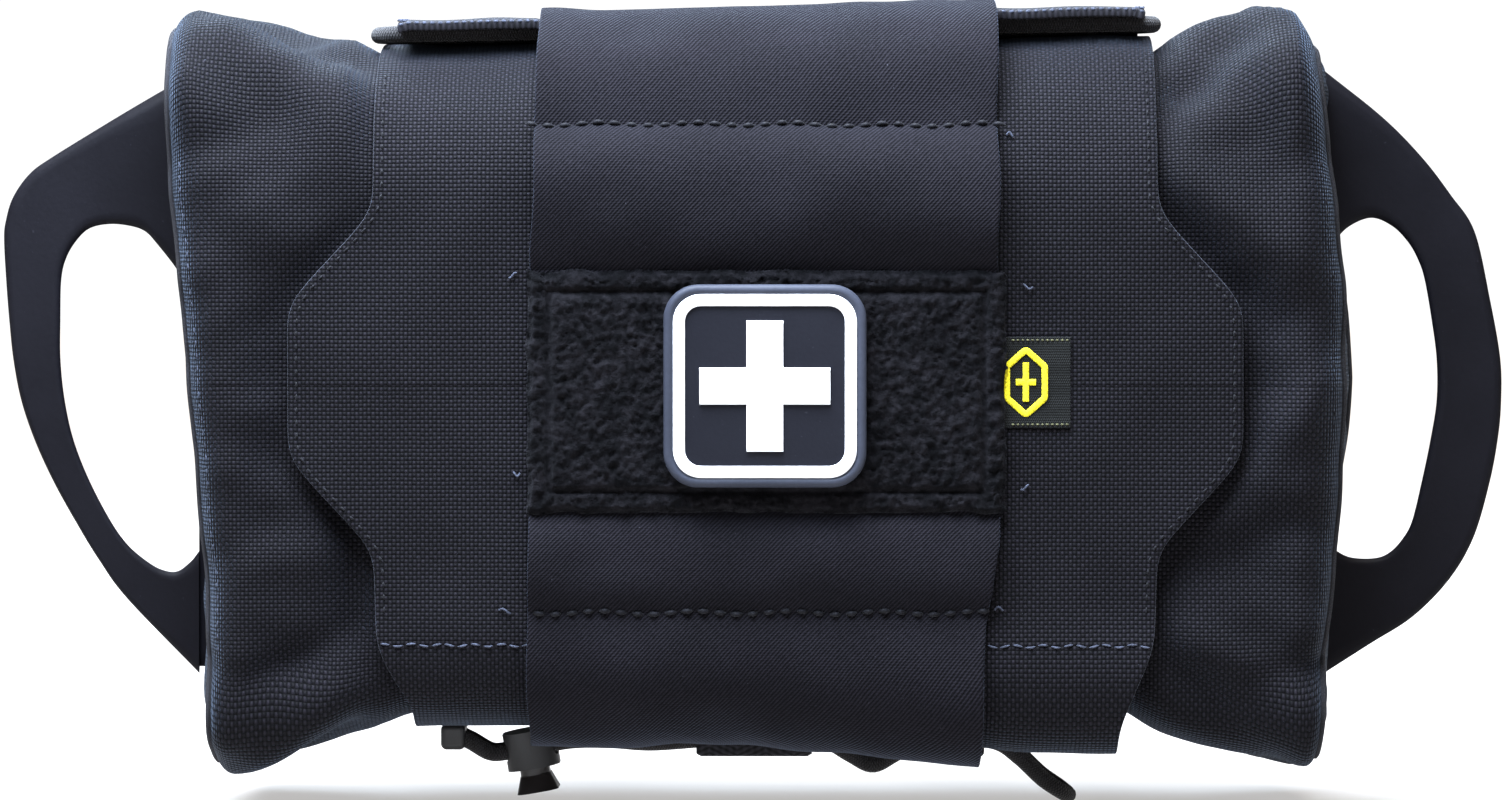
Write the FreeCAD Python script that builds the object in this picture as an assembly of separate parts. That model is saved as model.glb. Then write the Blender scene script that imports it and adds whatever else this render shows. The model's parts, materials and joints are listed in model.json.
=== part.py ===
"""First-aid roll in a pull-out carrier: a padded roll with two rubber handles slides out of a fabric sleeve.

Millimetres. X runs along the pouch to the wearer's pull side, Y from the front face (-Y) to the wearer (+Y),
Z up. The origin is the middle of the back panel's rear face, where the belt or vest webbing lies.
"""

import FreeCAD
import Part
import math
import os

# Sleeve that wraps the roll: narrow over the top, bottom and back, with wider wings across the front.
SLEEVE_HALF_WIDTH = 74.5
UNDERSIDE_HALF_WIDTH = 68.0
WING_HALF_WIDTH = 90.8
WING_HALF_FLAT = 14.5
WING_HALF_HEIGHT = 32.0
WING_CORNER_R = 9.0
SLEEVE_HALF_HEIGHT = 66.5
SLEEVE_FRONT = -80.0
SLEEVE_BACK = -3.0
SLEEVE_SHEET = 1.2
FRONT_CORNER_R = 24.0
BACK_CORNER_R = 8.0

# Back panel with its stiffener and the two belt straps.
BACK_HALF_HEIGHT = 62.5
BACK_SHEET = 1.5
SLOT_LENGTH = 28.0
SLOT_HEIGHT = 2.6
SLOT_COLUMN_PITCH = 37.25
SLOT_ROWS = (-37.0, 0.0, 37.0)
STRAP_CENTRE = 38.0
STRAP_WIDTH = 25.4
STRAP_SHEET = 1.5
STRAP_HINGE_Z = 39.5
STRAP_STANDOFF = 7.5
SNAP_Z = -49.0
SNAP_R = 6.2
SNAP_SHELF = 3.2
STUD_R = 2.0
CAP_POST_R = 2.4

# Elastic band over the front, with the loop field on it.
ELASTIC_HALF_WIDTH = 44.7
ELASTIC_SHEET = 1.6
ELASTIC_BOTTOM_END = -62.0
LOOP_LEFT, LOOP_RIGHT = -45.0, 47.0
LOOP_BOTTOM, LOOP_TOP = -24.2, 21.8
LOOP_SHEET = 2.2

# Removable rubber patch.
PATCH_HALF = 19.2
PATCH_CORNER_R = 6.6
PATCH_GAP = 0.3
HOOK_SHEET = 0.8
PATCH_SHEET = 1.8
RAISED = 0.5
BORDER_HALF = 17.4
BORDER_WIDTH = 2.7
CROSS_HALF = 12.4
CROSS_ARM_HALF = 3.5

# Shock cords above and below, held in webbing tunnels.
CORD_R = 1.6
CORD_HALF_PITCH = 6.5
TOP_CORD_Y = -50.0
TOP_CORD_HALF_LENGTH = 77.0
BOTTOM_CORD_Y = -47.0
TUNNEL_SHEET = 1.3
TOP_TUNNEL = {"front": -67.5, "back": -33.0, "clear": 3.6, "foot": 5.0}
BOTTOM_TUNNEL = {"front": -60.8, "back": -31.0, "clear": 5.2, "foot": 3.0}

# Cord lock on the lower cord. Its own frame has x along the cord and z up, tilted about Y.
LOCK_X, LOCK_Z = -46.0, -71.7
LOCK_TILT = 10.0
LOCK_BARREL_BOTTOM, LOCK_BARREL_TOP = -3.9, 3.4
LOCK_CORD_OFFSET = 2.7
LOCK_TRAVEL = 1.2
LOCK_CLEAR = 0.3

# Roll: folded outer wrap, end gussets, and one rubber sheet through its middle that ends in the two handles.
ROLL_LEFT, ROLL_RIGHT = -113.0, 111.0
ROLL_FRONT, ROLL_BACK = -78.2, -4.7
ROLL_HALF_HEIGHT = 64.0
ROLL_SHEET = 1.5
ROLL_FRONT_R, ROLL_BACK_R = 22.0, 9.0
PULL_FRONT, PULL_BACK = -46.8, -45.2
HANDLE_GAP = 1.2
BINDING = 0.45
BINDING_WIDTH = 6.0


def rounded(points, radii):
    """Edges in the (u, v) plane of a closed outline whose corners are arcs of the given radii."""
    corners = []
    for i, point in enumerate(points):
        p, before, after = (FreeCAD.Vector(*q, 0) for q in (point, points[i - 1], points[(i + 1) % len(points)]))
        a, b = (before - p).normalize(), (after - p).normalize()
        half = math.acos(max(-1.0, min(1.0, a.dot(b)))) / 2
        r = radii[i]
        if r <= 0:
            corners.append((p, p, p))
            continue
        bisector = (a + b).normalize()
        reach = r / math.tan(half)
        corners.append((p + a * reach, p + bisector * (r / math.sin(half) - r), p + b * reach))
    edges = []
    for i, (start, middle, end) in enumerate(corners):
        if (end - start).Length > 1e-6:
            edges.append(Part.Arc(start, middle, end).toShape())
        following = corners[(i + 1) % len(corners)][0]
        if (following - end).Length > 1e-6:
            edges.append(Part.LineSegment(end, following).toShape())
    return edges


def prism(points, radii, plane, low, high):
    """Solid of a rounded outline. Plane "xz" runs from y low to high, "yz" from x low to high, "xy" in z."""
    face = Part.Face(Part.Wire(rounded(points, radii)))
    x, y, z = FreeCAD.Vector(1, 0, 0), FreeCAD.Vector(0, 1, 0), FreeCAD.Vector(0, 0, 1)
    u, v, n = {"xz": (x, z, y * -1), "yz": (y, z, x), "xy": (x, y, z)}[plane]
    matrix = FreeCAD.Matrix(u.x, v.x, n.x, 0, u.y, v.y, n.y, 0, u.z, v.z, n.z, 0, 0, 0, 0, 1)
    solid = face.extrude(FreeCAD.Vector(0, 0, high - low))
    solid.Placement = FreeCAD.Placement(matrix)
    solid.translate({"xz": y * high, "yz": x * low, "xy": z * low}[plane])
    return solid


def box(x0, x1, y0, y1, z0, z1):
    return Part.makeBox(x1 - x0, y1 - y0, z1 - z0, FreeCAD.Vector(x0, y0, z0))


def rectangle(u0, u1, v0, v1):
    return [(u0, v0), (u1, v0), (u1, v1), (u0, v1)]


def rounded_box(x0, x1, y0, y1, z0, z1, radius):
    """A block with every edge rounded, for soft packed things."""
    block = box(x0, x1, y0, y1, z0, z1)
    return block.makeFillet(radius, block.Edges)


def disc(x, z, radius, y0, y1):
    return Part.makeCylinder(radius, y1 - y0, FreeCAD.Vector(x, y0, z), FreeCAD.Vector(0, 1, 0))


def sleeve_volume(outset, half_width):
    """The filled sleeve grown by outset on the top, front and bottom, keeping its corners concentric."""
    half = SLEEVE_HALF_HEIGHT + outset
    points = rectangle(SLEEVE_FRONT - outset, SLEEVE_BACK + outset, -half, half)
    radii = [FRONT_CORNER_R + outset, BACK_CORNER_R + outset, BACK_CORNER_R + outset, FRONT_CORNER_R + outset]
    return prism(points, radii, "yz", -half_width, half_width)


def roll_volume(inset, left, right):
    """The filled roll shrunk by inset, from x left to right."""
    half = ROLL_HALF_HEIGHT - inset
    points = rectangle(ROLL_FRONT + inset, ROLL_BACK - inset, -half, half)
    radii = [ROLL_FRONT_R - inset, ROLL_BACK_R - inset, ROLL_BACK_R - inset, ROLL_FRONT_R - inset]
    return prism(points, radii, "yz", left, right)


def sleeve():
    """One laminated sheet: a closed band round the roll, cut to a cross shape whose wings hug the front."""
    band = sleeve_volume(0, WING_HALF_WIDTH).cut(sleeve_volume(-SLEEVE_SHEET, WING_HALF_WIDTH + 1))
    wings = prism(
        [
            (-SLEEVE_HALF_WIDTH, -WING_HALF_HEIGHT),
            (SLEEVE_HALF_WIDTH, -WING_HALF_HEIGHT),
            (WING_HALF_WIDTH, -WING_HALF_FLAT),
            (WING_HALF_WIDTH, WING_HALF_FLAT),
            (SLEEVE_HALF_WIDTH, WING_HALF_HEIGHT),
            (-SLEEVE_HALF_WIDTH, WING_HALF_HEIGHT),
            (-WING_HALF_WIDTH, WING_HALF_FLAT),
            (-WING_HALF_WIDTH, -WING_HALF_FLAT),
        ],
        [0, 0, WING_CORNER_R, WING_CORNER_R, 0, 0, WING_CORNER_R, WING_CORNER_R],
        "xz",
        SLEEVE_FRONT - 1,
        SLEEVE_FRONT + SLEEVE_SHEET + 1,
    )
    half, wide, under = SLEEVE_HALF_HEIGHT + 1, SLEEVE_HALF_WIDTH, UNDERSIDE_HALF_WIDTH
    outline = [(-under, -half), (under, -half), (under, -60), (wide, -51), (wide, half), (-wide, half)]
    outline += [(-wide, -51), (-under, -60)]
    narrow = prism(outline, [0, 0, 5, 9, 0, 0, 9, 5], "xz", SLEEVE_FRONT - 1, SLEEVE_BACK + 1)
    return band.common(narrow.fuse(wings).removeSplitter())


def back_panel():
    """Outer back sheet with three rows of laser-cut webbing slots."""
    outline = rectangle(-SLEEVE_HALF_WIDTH, SLEEVE_HALF_WIDTH, -BACK_HALF_HEIGHT, BACK_HALF_HEIGHT)
    panel = prism(outline, [8] * 4, "xz", -BACK_SHEET, 0)
    slots = []
    for row in SLOT_ROWS:
        for column in range(4):
            x = (column - 1.5) * SLOT_COLUMN_PITCH
            hole = rectangle(x - SLOT_LENGTH / 2, x + SLOT_LENGTH / 2, row - SLOT_HEIGHT / 2, row + SLOT_HEIGHT / 2)
            slots.append(prism(hole, [SLOT_HEIGHT / 2 - 0.05] * 4, "xz", -BACK_SHEET - 1, 1))
    return panel.cut(Part.makeCompound(slots))


def back_stiffener():
    outline = rectangle(-70, 70, -58, 58)
    return prism(outline, [6] * 4, "xz", SLEEVE_BACK, -BACK_SHEET)


def arch(x0, x1, sheet, front, back, clear, foot):
    """Strip that stands off the sleeve's top over the cord: sewn down at both feet, open along X."""
    base = SLEEVE_HALF_HEIGHT
    top = base + clear + sheet
    outer = [(front, base - 8), (front, base), (front + foot + 2, top), (back - 6, top)]
    outer += [(back, base + sheet), (back, base - 8)]
    inner = [(front + foot, base - 8), (front + foot, base + 0.8), (front + foot + 2.5, top - sheet)]
    inner += [(back - 7, top - sheet), (back - 4.5, base + 1.2), (back - 4.5, base - 8)]
    shell = prism(outer, [0, 1, 3, 4, 1, 0], "yz", x0, x1)
    shell = shell.cut(prism(inner, [0, 0.6, 1.5, 2.5, 0.6, 0], "yz", x0 - 1, x1 + 1))
    return shell.cut(sleeve_volume(0, WING_HALF_WIDTH + 1))


def top_tunnel(x0, x1):
    return arch(x0, x1, TUNNEL_SHEET, **TOP_TUNNEL)


def bottom_tunnel(x0, x1):
    """The same kind of strip under the sleeve."""
    strip = arch(x0, x1, TUNNEL_SHEET, **BOTTOM_TUNNEL)
    return strip.mirror(FreeCAD.Vector(0, 0, 0), FreeCAD.Vector(0, 0, 1))


def elastic_band():
    """Wide elastic over the front, arched over the top cord, sewn down behind it and under the bottom."""
    w = ELASTIC_HALF_WIDTH
    band = sleeve_volume(ELASTIC_SHEET, w).cut(sleeve_volume(0, w + 1))
    half = SLEEVE_HALF_HEIGHT + 10
    front_part = box(-w, w, SLEEVE_FRONT - 5, TOP_TUNNEL["front"] + 2, -half, half)
    bottom_part = box(-w, w, SLEEVE_FRONT - 5, ELASTIC_BOTTOM_END, -half, 0)
    band = band.common(front_part.fuse(bottom_part).removeSplitter())
    return band.fuse(arch(-w, w, ELASTIC_SHEET, **TOP_TUNNEL)).removeSplitter()


def loop_field():
    back = SLEEVE_FRONT - ELASTIC_SHEET
    outline = rectangle(LOOP_LEFT, LOOP_RIGHT, LOOP_BOTTOM, LOOP_TOP)
    return prism(outline, [1.5] * 4, "xz", back - LOOP_SHEET, back)


def label():
    outline = rectangle(45.4, 59.2, -8.0, 9.2)
    return prism(outline, [0.6] * 4, "xz", SLEEVE_FRONT - 0.6, SLEEVE_FRONT)


def tube(points, bend_share=0.45):
    """Cord along straight runs joined by tangent arcs, each as large as its two runs allow."""
    vectors = [FreeCAD.Vector(*p) for p in points]
    edges, start, radii = [], vectors[0], []
    for before, p, after in zip(vectors, vectors[1:], vectors[2:]):
        a, b = before - p, after - p
        reach = bend_share * min(a.Length, b.Length)
        a.normalize()
        b.normalize()
        half = math.acos(max(-1.0, min(1.0, a.dot(b)))) / 2
        r = reach * math.tan(half)
        radii.append(round(r, 1))
        middle = p + (a + b).normalize() * (r / math.sin(half) - r)
        edges.append(Part.LineSegment(start, p + a * reach).toShape())
        edges.append(Part.Arc(p + a * reach, middle, p + b * reach).toShape())
        start = p + b * reach
    edges.append(Part.LineSegment(start, vectors[-1]).toShape())
    path = Part.Wire(edges)
    section = Part.Wire(Part.makeCircle(CORD_R, vectors[0], vectors[1] - vectors[0]))
    solid = path.makePipeShell([section], True, False)
    print("cord radii", radii, "volume share", round(solid.Volume / (math.pi * CORD_R**2 * path.Length), 4))
    return solid


def half_ring(start, end, outward):
    """Half a turn of cord from start to end, bulging along the outward direction."""
    middle = (start + end) * 0.5 + outward * ((end - start).Length / 2)
    path = Part.Wire([Part.Arc(start, middle, end).toShape()])
    return path.makePipeShell([Part.Wire(Part.makeCircle(CORD_R, start, outward))], True, False)


def top_cord():
    """Closed loop of shock cord that runs through both top tunnels and under the elastic."""
    z = SLEEVE_HALF_HEIGHT + CORD_R + 0.15
    straight = TOP_CORD_HALF_LENGTH - CORD_R - CORD_HALF_PITCH
    ys = (TOP_CORD_Y - CORD_HALF_PITCH, TOP_CORD_Y + CORD_HALF_PITCH)
    along = FreeCAD.Vector(1, 0, 0)
    parts = [Part.makeCylinder(CORD_R, 2 * straight, FreeCAD.Vector(-straight, y, z), along) for y in ys]
    for side in (-1, 1):
        ends = [FreeCAD.Vector(side * straight, y, z) for y in ys]
        parts.append(half_ring(*ends, along * side))
    return parts[0].fuse(parts[1:]).removeSplitter()


def bottom_cord_route(side):
    """One run of the lower cord, from the end cap through the lock and tunnels to the drooping bend."""
    lock = BOTTOM_CORD_Y + side * LOCK_CORD_OFFSET
    run = BOTTOM_CORD_Y + side * CORD_HALF_PITCH
    return [
        (-59.0, lock, -69.3),
        (-54.0, lock, -73.1),
        (-36.0, lock, -69.9),
        (-22.0, run - side * 0.6, -70.5),
        (-9.0, run, -69.4),
        (11.5, run, -69.5),
        (20.8, run, -76.2),
        (29.0, run, -69.5),
        (46.0, run, -69.7),
        (54.0, run - side * 0.5, -77.4),
    ]


def bottom_cord():
    """Both runs of the lower cord and the free bend that joins them at the right."""
    routes = [bottom_cord_route(side) for side in (-1, 1)]
    runs = [tube(route) for route in routes]
    ends = [FreeCAD.Vector(*route[-1]) for route in routes]
    outward = ends[0] - FreeCAD.Vector(*routes[0][-2])
    outward = FreeCAD.Vector(outward.x, 0, outward.z).normalize()
    joints = [Part.makeSphere(CORD_R, end) for end in ends]
    return runs[0].fuse([runs[1], half_ring(*ends, outward), *joints]).removeSplitter()


def cord_end_cap():
    half = LOCK_CORD_OFFSET + CORD_R + 0.6
    cap = rounded_box(-63.5, -58.7, BOTTOM_CORD_Y - half, BOTTOM_CORD_Y + half, -72.0, -66.9, 1.2)
    return cap.cut(bottom_cord())


def on_lock(solid):
    """A solid made in the lock's own frame, put in its place on the cord."""
    turn = FreeCAD.Rotation(FreeCAD.Vector(0, 1, 0), -LOCK_TILT)
    place = FreeCAD.Placement(FreeCAD.Vector(LOCK_X, BOTTOM_CORD_Y, LOCK_Z), turn)
    solid.Placement = place.multiply(solid.Placement)
    return solid


def stadium(half_x, half_y, z0, z1):
    return prism(rectangle(-half_x, half_x, -half_y, half_y), [half_x - 0.1] * 4, "xy", z0, z1)


def cord_lock_barrel():
    """Housing with a cross hole for the two cords and a well for the plunger, open at the bottom."""
    body = stadium(5.1, 7.0, LOCK_BARREL_BOTTOM, LOCK_BARREL_TOP)
    hole_half = LOCK_CORD_OFFSET + CORD_R + LOCK_CLEAR
    hole = rectangle(-hole_half, hole_half, -CORD_R - 0.4, CORD_R + LOCK_CLEAR)
    hole = prism(hole, [CORD_R] * 4, "yz", -8, 8)
    well = box(-2.7, 2.7, -1.1, 1.1, 0, LOCK_BARREL_TOP - 0.7)
    mouth = stadium(3.3, 4.5, LOCK_BARREL_BOTTOM - 1, -CORD_R - 0.7)
    throat = box(-2.7, 2.7, -1.1, 1.1, -CORD_R - 1, 0.1)
    return on_lock(body.cut(hole.fuse([well, mouth, throat])))


def lock_outline(half_x, half_y, radius, z):
    wire = Part.Wire(rounded(rectangle(-half_x, half_x, -half_y, half_y), [radius] * 4))
    wire.translate(FreeCAD.Vector(0, 0, z))
    return wire


def cord_lock_plunger():
    """Flared button with a blade that goes up between the two cords."""
    low = LOCK_BARREL_BOTTOM - LOCK_TRAVEL - LOCK_CLEAR
    button = Part.makeLoft([lock_outline(3.0, 4.4, 2.0, low), lock_outline(4.1, 6.4, 2.8, low - 3.2)], True)
    neck = stadium(2.9, 4.1, low - 0.3, LOCK_BARREL_BOTTOM + 0.2)
    blade = box(-2.4, 2.4, -0.8, 0.8, low, 0.9)
    return on_lock(button.fuse([neck, blade]).removeSplitter())


def cord_lock_spring():
    """Two turns of fine wire between the blade's top and the well's roof."""
    wire_r, coil_r, pitch, height = 0.18, 0.6, 0.7, 1.3
    section = Part.Wire(Part.makeCircle(wire_r, FreeCAD.Vector(coil_r, 0, 0), FreeCAD.Vector(0, 1, 0)))
    spring = Part.Wire(Part.makeHelix(pitch, height, coil_r)).makePipeShell([section], True, True)
    spring.translate(FreeCAD.Vector(0, 0, 0.95 + wire_r))
    return on_lock(spring)


def strap_anchor(x):
    """Sewn top end of a belt strap."""
    w = STRAP_WIDTH / 2
    return prism(rectangle(x - w, x + w, STRAP_HINGE_Z + 0.4, 55.0), [0.8, 0.8, 2, 2], "xz", 0, STRAP_SHEET)


def strap(x):
    """Moving part of a belt strap: out round the belt, down, and back in to the snap."""
    w, t, out = STRAP_WIDTH / 2, STRAP_SHEET, STRAP_STANDOFF
    outline = [
        (0.15, STRAP_HINGE_Z),
        (0.15, STRAP_HINGE_Z - 1.5),
        (out, 31.5),
        (out, -31.5),
        (SNAP_SHELF, -39.5),
        (SNAP_SHELF, -59.0),
        (SNAP_SHELF + t, -59.0),
        (SNAP_SHELF + t, -39.9),
        (out + t, -31.9),
        (out + t, 31.9),
        (0.15 + t, STRAP_HINGE_Z - 1.0),
        (0.15 + t, STRAP_HINGE_Z),
    ]
    band = prism(outline, [0, 1, 3, 3, 1.5, 0.5, 0.5, 1.5, 4, 4, 1, 0], "yz", x - w, x + w)
    return band.cut(disc(x, SNAP_Z, CAP_POST_R, 2, 6))


def snap_stud(x):
    """Male half on the back panel."""
    post, head = disc(x, SNAP_Z, STUD_R * 0.8, 0.9, 1.7), disc(x, SNAP_Z, STUD_R, 1.7, 2.9)
    return disc(x, SNAP_Z, SNAP_R, 0, 0.9).fuse([post, head]).removeSplitter()


def snap_socket(x):
    """Female half under the strap."""
    ring = disc(x, SNAP_Z, SNAP_R, 1.3, SNAP_SHELF)
    return ring.cut(disc(x, SNAP_Z, STUD_R + 0.35, 1, 4))


def snap_cap(x):
    """Domed cap whose post fills the strap's hole."""
    under = SNAP_SHELF + STRAP_SHEET
    cap = disc(x, SNAP_Z, SNAP_R + 0.4, under, under + 1.5)
    rim = [e for e in cap.Edges if abs(e.BoundBox.YMin - (under + 1.5)) < 1e-6]
    return cap.makeFillet(1.0, rim).fuse(disc(x, SNAP_Z, CAP_POST_R, SNAP_SHELF, under)).removeSplitter()


def square(half, radius, y0, y1):
    return prism(rectangle(-half, half, -half, half), [radius] * 4, "xz", y0, y1)


def patch_levels():
    """Y of the hook backing's rear, the rubber's rear and the rubber's front."""
    rear = SLEEVE_FRONT - ELASTIC_SHEET - LOOP_SHEET - PATCH_GAP
    return rear, rear - HOOK_SHEET, rear - HOOK_SHEET - PATCH_SHEET


def patch_hook_backing():
    rear, rubber, _ = patch_levels()
    return square(PATCH_HALF - 0.8, PATCH_CORNER_R - 0.8, rubber, rear)


def patch_base():
    _, rubber, front = patch_levels()
    base = square(PATCH_HALF, PATCH_CORNER_R, front, rubber)
    rim = [e for e in base.Edges if abs(e.BoundBox.YMax - front) < 1e-6]
    return base.makeFillet(0.7, rim)


def patch_border():
    front = patch_levels()[2]
    outer = square(BORDER_HALF, 5.2, front - RAISED, front)
    return outer.cut(square(BORDER_HALF - BORDER_WIDTH, 3.0, front - RAISED - 1, front + 1))


def patch_cross():
    front = patch_levels()[2]
    a, c = CROSS_ARM_HALF, CROSS_HALF
    upright = box(-a, a, front - RAISED, front, -c, c)
    return upright.fuse(box(-c, c, front - RAISED, front, -a, a)).removeSplitter()


def roll_wrap():
    return roll_volume(0, ROLL_LEFT, ROLL_RIGHT).cut(roll_volume(ROLL_SHEET, ROLL_LEFT - 1, ROLL_RIGHT + 1))


def gusset(x0, x1):
    """End wall of the roll, slit for the pull sheet."""
    wall = roll_volume(ROLL_SHEET, x0, x1)
    return wall.cut(box(x0 - 1, x1 + 1, PULL_FRONT, PULL_BACK, -60, 60))


def binding(end, inner):
    """Tape folded over the wrap's edge at one end. It is L-shaped in section."""
    x0, x1 = sorted((end, inner))
    lip = BINDING if end > inner else -BINDING
    tape = roll_volume(-BINDING, min(x0, end + lip), max(x1, end + lip))
    return tape.cut(roll_volume(0, x0, x1)).cut(roll_volume(ROLL_SHEET, x0 - 2, x1 + 2))


def pull_sheet():
    """Rubber sheet through the middle of the roll, between the two handles."""
    return box(ROLL_LEFT - BINDING, ROLL_RIGHT + BINDING, PULL_FRONT, PULL_BACK, -56, 56)


def handle_left():
    """Die-cut rubber handle, widest near the top. Its grip opening runs up to the root."""
    root = ROLL_LEFT - BINDING - HANDLE_GAP
    outline = [(root, 55.8), (-150.5, 35.5), (-148.6, 3.0), (-127.5, -41.5), (root, -57.0)]
    grip = [(root + 5, 22), (-116.3, 31.6), (-130.5, 31.6), (-140.0, 16), (-138.2, -8), (-127.5, -31.5), (-118.6, -39.6),
            (root + 5, -34)]
    sheet = prism(outline, [0, 15, 45, 60, 0], "xz", PULL_FRONT, PULL_BACK)
    return sheet.cut(prism(grip, [0, 4, 9, 14, 30, 20, 6, 0], "xz", PULL_FRONT - 1, PULL_BACK + 1))


def handle_right():
    """Die-cut rubber handle, widest near the bottom."""
    root = ROLL_RIGHT + BINDING + HANDLE_GAP
    outline = [(root, 60.0), (139.5, 33.5), (147.0, 2.0), (144.0, -30.5), (root, -56.5)]
    grip = [(root - 5, 26), (116.5, 32.8), (126.5, 32.8), (133.7, 12), (133.5, -12), (127.8, -34.8), (root - 5, -34.8)]
    sheet = prism(outline, [0, 24, 45, 17, 0], "xz", PULL_FRONT, PULL_BACK)
    return sheet.cut(prism(grip, [0, 4, 9, 25, 25, 12, 0], "xz", PULL_FRONT - 1, PULL_BACK + 1))


def organiser_loop(x0, x1, y0, y1, half_height, radius):
    """Elastic loop sewn inside the roll, round one of the packed things."""
    outer = prism(rectangle(y0, y1, -half_height, half_height), [radius] * 4, "yz", x0, x1)
    inner = rectangle(y0 + 1, y1 - 1, 1 - half_height, half_height - 1)
    return outer.cut(prism(inner, [radius - 1] * 4, "yz", x0 - 1, x1 + 1))


def tourniquet_band():
    """Folded strap: a flat coil, 38 mm wide."""
    coil = prism(rectangle(-103, -14, -75.8, -57.5), [8.5] * 4, "xy", -19, 19)
    return coil.cut(prism(rectangle(-97, -20, -69.8, -63.5), [3] * 4, "xy", -20, 20))


def tourniquet_windlass():
    rod = Part.makeCylinder(4.0, 104, FreeCAD.Vector(-108.0, -51.5, 0), FreeCAD.Vector(1, 0, 0))
    return rod.makeFillet(1.5, [e for e in rod.Edges if e.Curve.TypeId == "Part::GeomCircle"])


def tourniquet_plate():
    """Stiff plate under the windlass."""
    return prism(rectangle(-92, -24, -17, 17), [4] * 4, "xz", -57.4, -55.9)


def tourniquet_clip():
    """Two cheeks either side of one end of the windlass."""
    cheeks = [rounded_box(-38, -20, -55.8, -47.4, z, z + 4.5, 1.5) for z in (-9.0, 4.5)]
    return cheeks[0].fuse([cheeks[1], box(-36, -22, -55.85, -55.55, -7, 7)])


def tourniquet_buckle():
    """Flat frame that the strap runs through."""
    frame = prism(rectangle(-103, -93.5, -19, 19), [3] * 4, "xz", -57.4, -55.9)
    return frame.cut(prism(rectangle(-100, -96.5, -15, 15), [1.5] * 4, "xz", -58, -55))


def gauze_packs():
    """Two vacuum-packed gauze blocks, one above the other."""
    return Part.makeCompound([rounded_box(12, 96, -74.0, -50.0, z, z + 48, 7) for z in (-50.5, 2.5)])


def chest_seals():
    return prism(rectangle(-4, 104, -54, 54), [5] * 4, "xz", -44.4, -39.0)


def airway_tube():
    """Curved nasal airway with a flared end, packed flat behind the glove pack."""
    arc = Part.Arc(FreeCAD.Vector(8, -13.1, -22), FreeCAD.Vector(50, -13.1, 16), FreeCAD.Vector(92, -13.1, -22))
    wire = Part.Wire([arc.toShape()])
    start, tangent = arc.StartPoint, arc.tangent(arc.FirstParameter)[0]
    outer = wire.makePipeShell([Part.Wire(Part.makeCircle(4.2, start, tangent))], True, False)
    bore = wire.makePipeShell([Part.Wire(Part.makeCircle(2.9, start, tangent))], True, False)
    flare = Part.makeCone(4.2, 6.2, 3.0, start, tangent * -1).cut(Part.makeCone(2.9, 4.6, 3.0, start, tangent * -1))
    return outer.cut(bore).fuse(flare).removeSplitter()


def build():
    """Every node by name."""
    left, right = -STRAP_CENTRE, STRAP_CENTRE
    nodes = {
        "sleeve": sleeve(),
        "back_panel": back_panel(),
        "back_stiffener": back_stiffener(),
        "elastic_band": elastic_band(),
        "loop_field": loop_field(),
        "label": label(),
        "top_tunnel_left": top_tunnel(-72.3, -46.3),
        "top_tunnel_right": top_tunnel(45.4, 73.0),
        "top_shock_cord": top_cord(),
        "bottom_tunnel_centre": bottom_tunnel(-13.5, 9.0),
        "bottom_tunnel_right": bottom_tunnel(31.5, 42.5),
        "bottom_shock_cord": bottom_cord(),
        "cord_end_cap": cord_end_cap(),
        "cord_lock_barrel": cord_lock_barrel(),
        "cord_lock_plunger": cord_lock_plunger(),
        "cord_lock_spring": cord_lock_spring(),
        "patch_hook_backing": patch_hook_backing(),
        "patch_base": patch_base(),
        "patch_border": patch_border(),
        "patch_cross": patch_cross(),
        "roll_wrap": roll_wrap(),
        "roll_end_left": gusset(ROLL_LEFT + 1.5, ROLL_LEFT + 3),
        "roll_end_right": gusset(ROLL_RIGHT - 3, ROLL_RIGHT - 1.5),
        "roll_binding_left": binding(ROLL_LEFT, ROLL_LEFT + BINDING_WIDTH),
        "roll_binding_right": binding(ROLL_RIGHT, ROLL_RIGHT - BINDING_WIDTH),
        "pull_sheet": pull_sheet(),
        "handle_left": handle_left(),
        "handle_right": handle_right(),
        "closure_hook": box(-80, 80, -7.3, -6.3, -12, 12),
        "closure_loop": box(-80, 80, -8.4, -7.4, -12, 12),
        "organiser_loop_front": organiser_loop(36, 74, -75.4, -48.3, 53.5, 10),
        "organiser_loop_back": organiser_loop(-74, -36, -44.2, -9.2, 37, 7),
        "tourniquet_band": tourniquet_band(),
        "tourniquet_plate": tourniquet_plate(),
        "tourniquet_windlass": tourniquet_windlass(),
        "tourniquet_clip": tourniquet_clip(),
        "tourniquet_buckle": tourniquet_buckle(),
        "gauze_packs": gauze_packs(),
        "pressure_bandage": rounded_box(-102, -12, -42.8, -10.6, -35.6, 35.6, 7),
        "chest_seals": chest_seals(),
        "glove_pack": rounded_box(-4, 102, -38.6, -19.5, -50, 50, 6),
        "airway_tube": airway_tube(),
    }
    for side, x in (("left", left), ("right", right)):
        nodes[f"strap_anchor_{side}"] = strap_anchor(x)
        nodes[f"belt_strap_{side}"] = strap(x)
        nodes[f"snap_stud_{side}"] = snap_stud(x)
        nodes[f"snap_socket_{side}"] = snap_socket(x)
        nodes[f"snap_cap_{side}"] = snap_cap(x)
    return nodes


os.makedirs("parts", exist_ok=True)
for name, shape in build().items():
    good = shape.isValid() and shape.Volume > 0
    print(f"{name:24s} solids {len(shape.Solids)} volume {shape.Volume / 1000:8.3f} cm3 {'' if good else 'BAD'}")
    shape.exportStep(f"parts/{name}.step")
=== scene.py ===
"""Looks of a pull-out first aid pouch: a padded roll with rubber handles, held in a fabric sleeve.

Lengths in the making of a piece are millimetres. A mesh is scaled to metres when it is made.
"""

import json
import math

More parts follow.
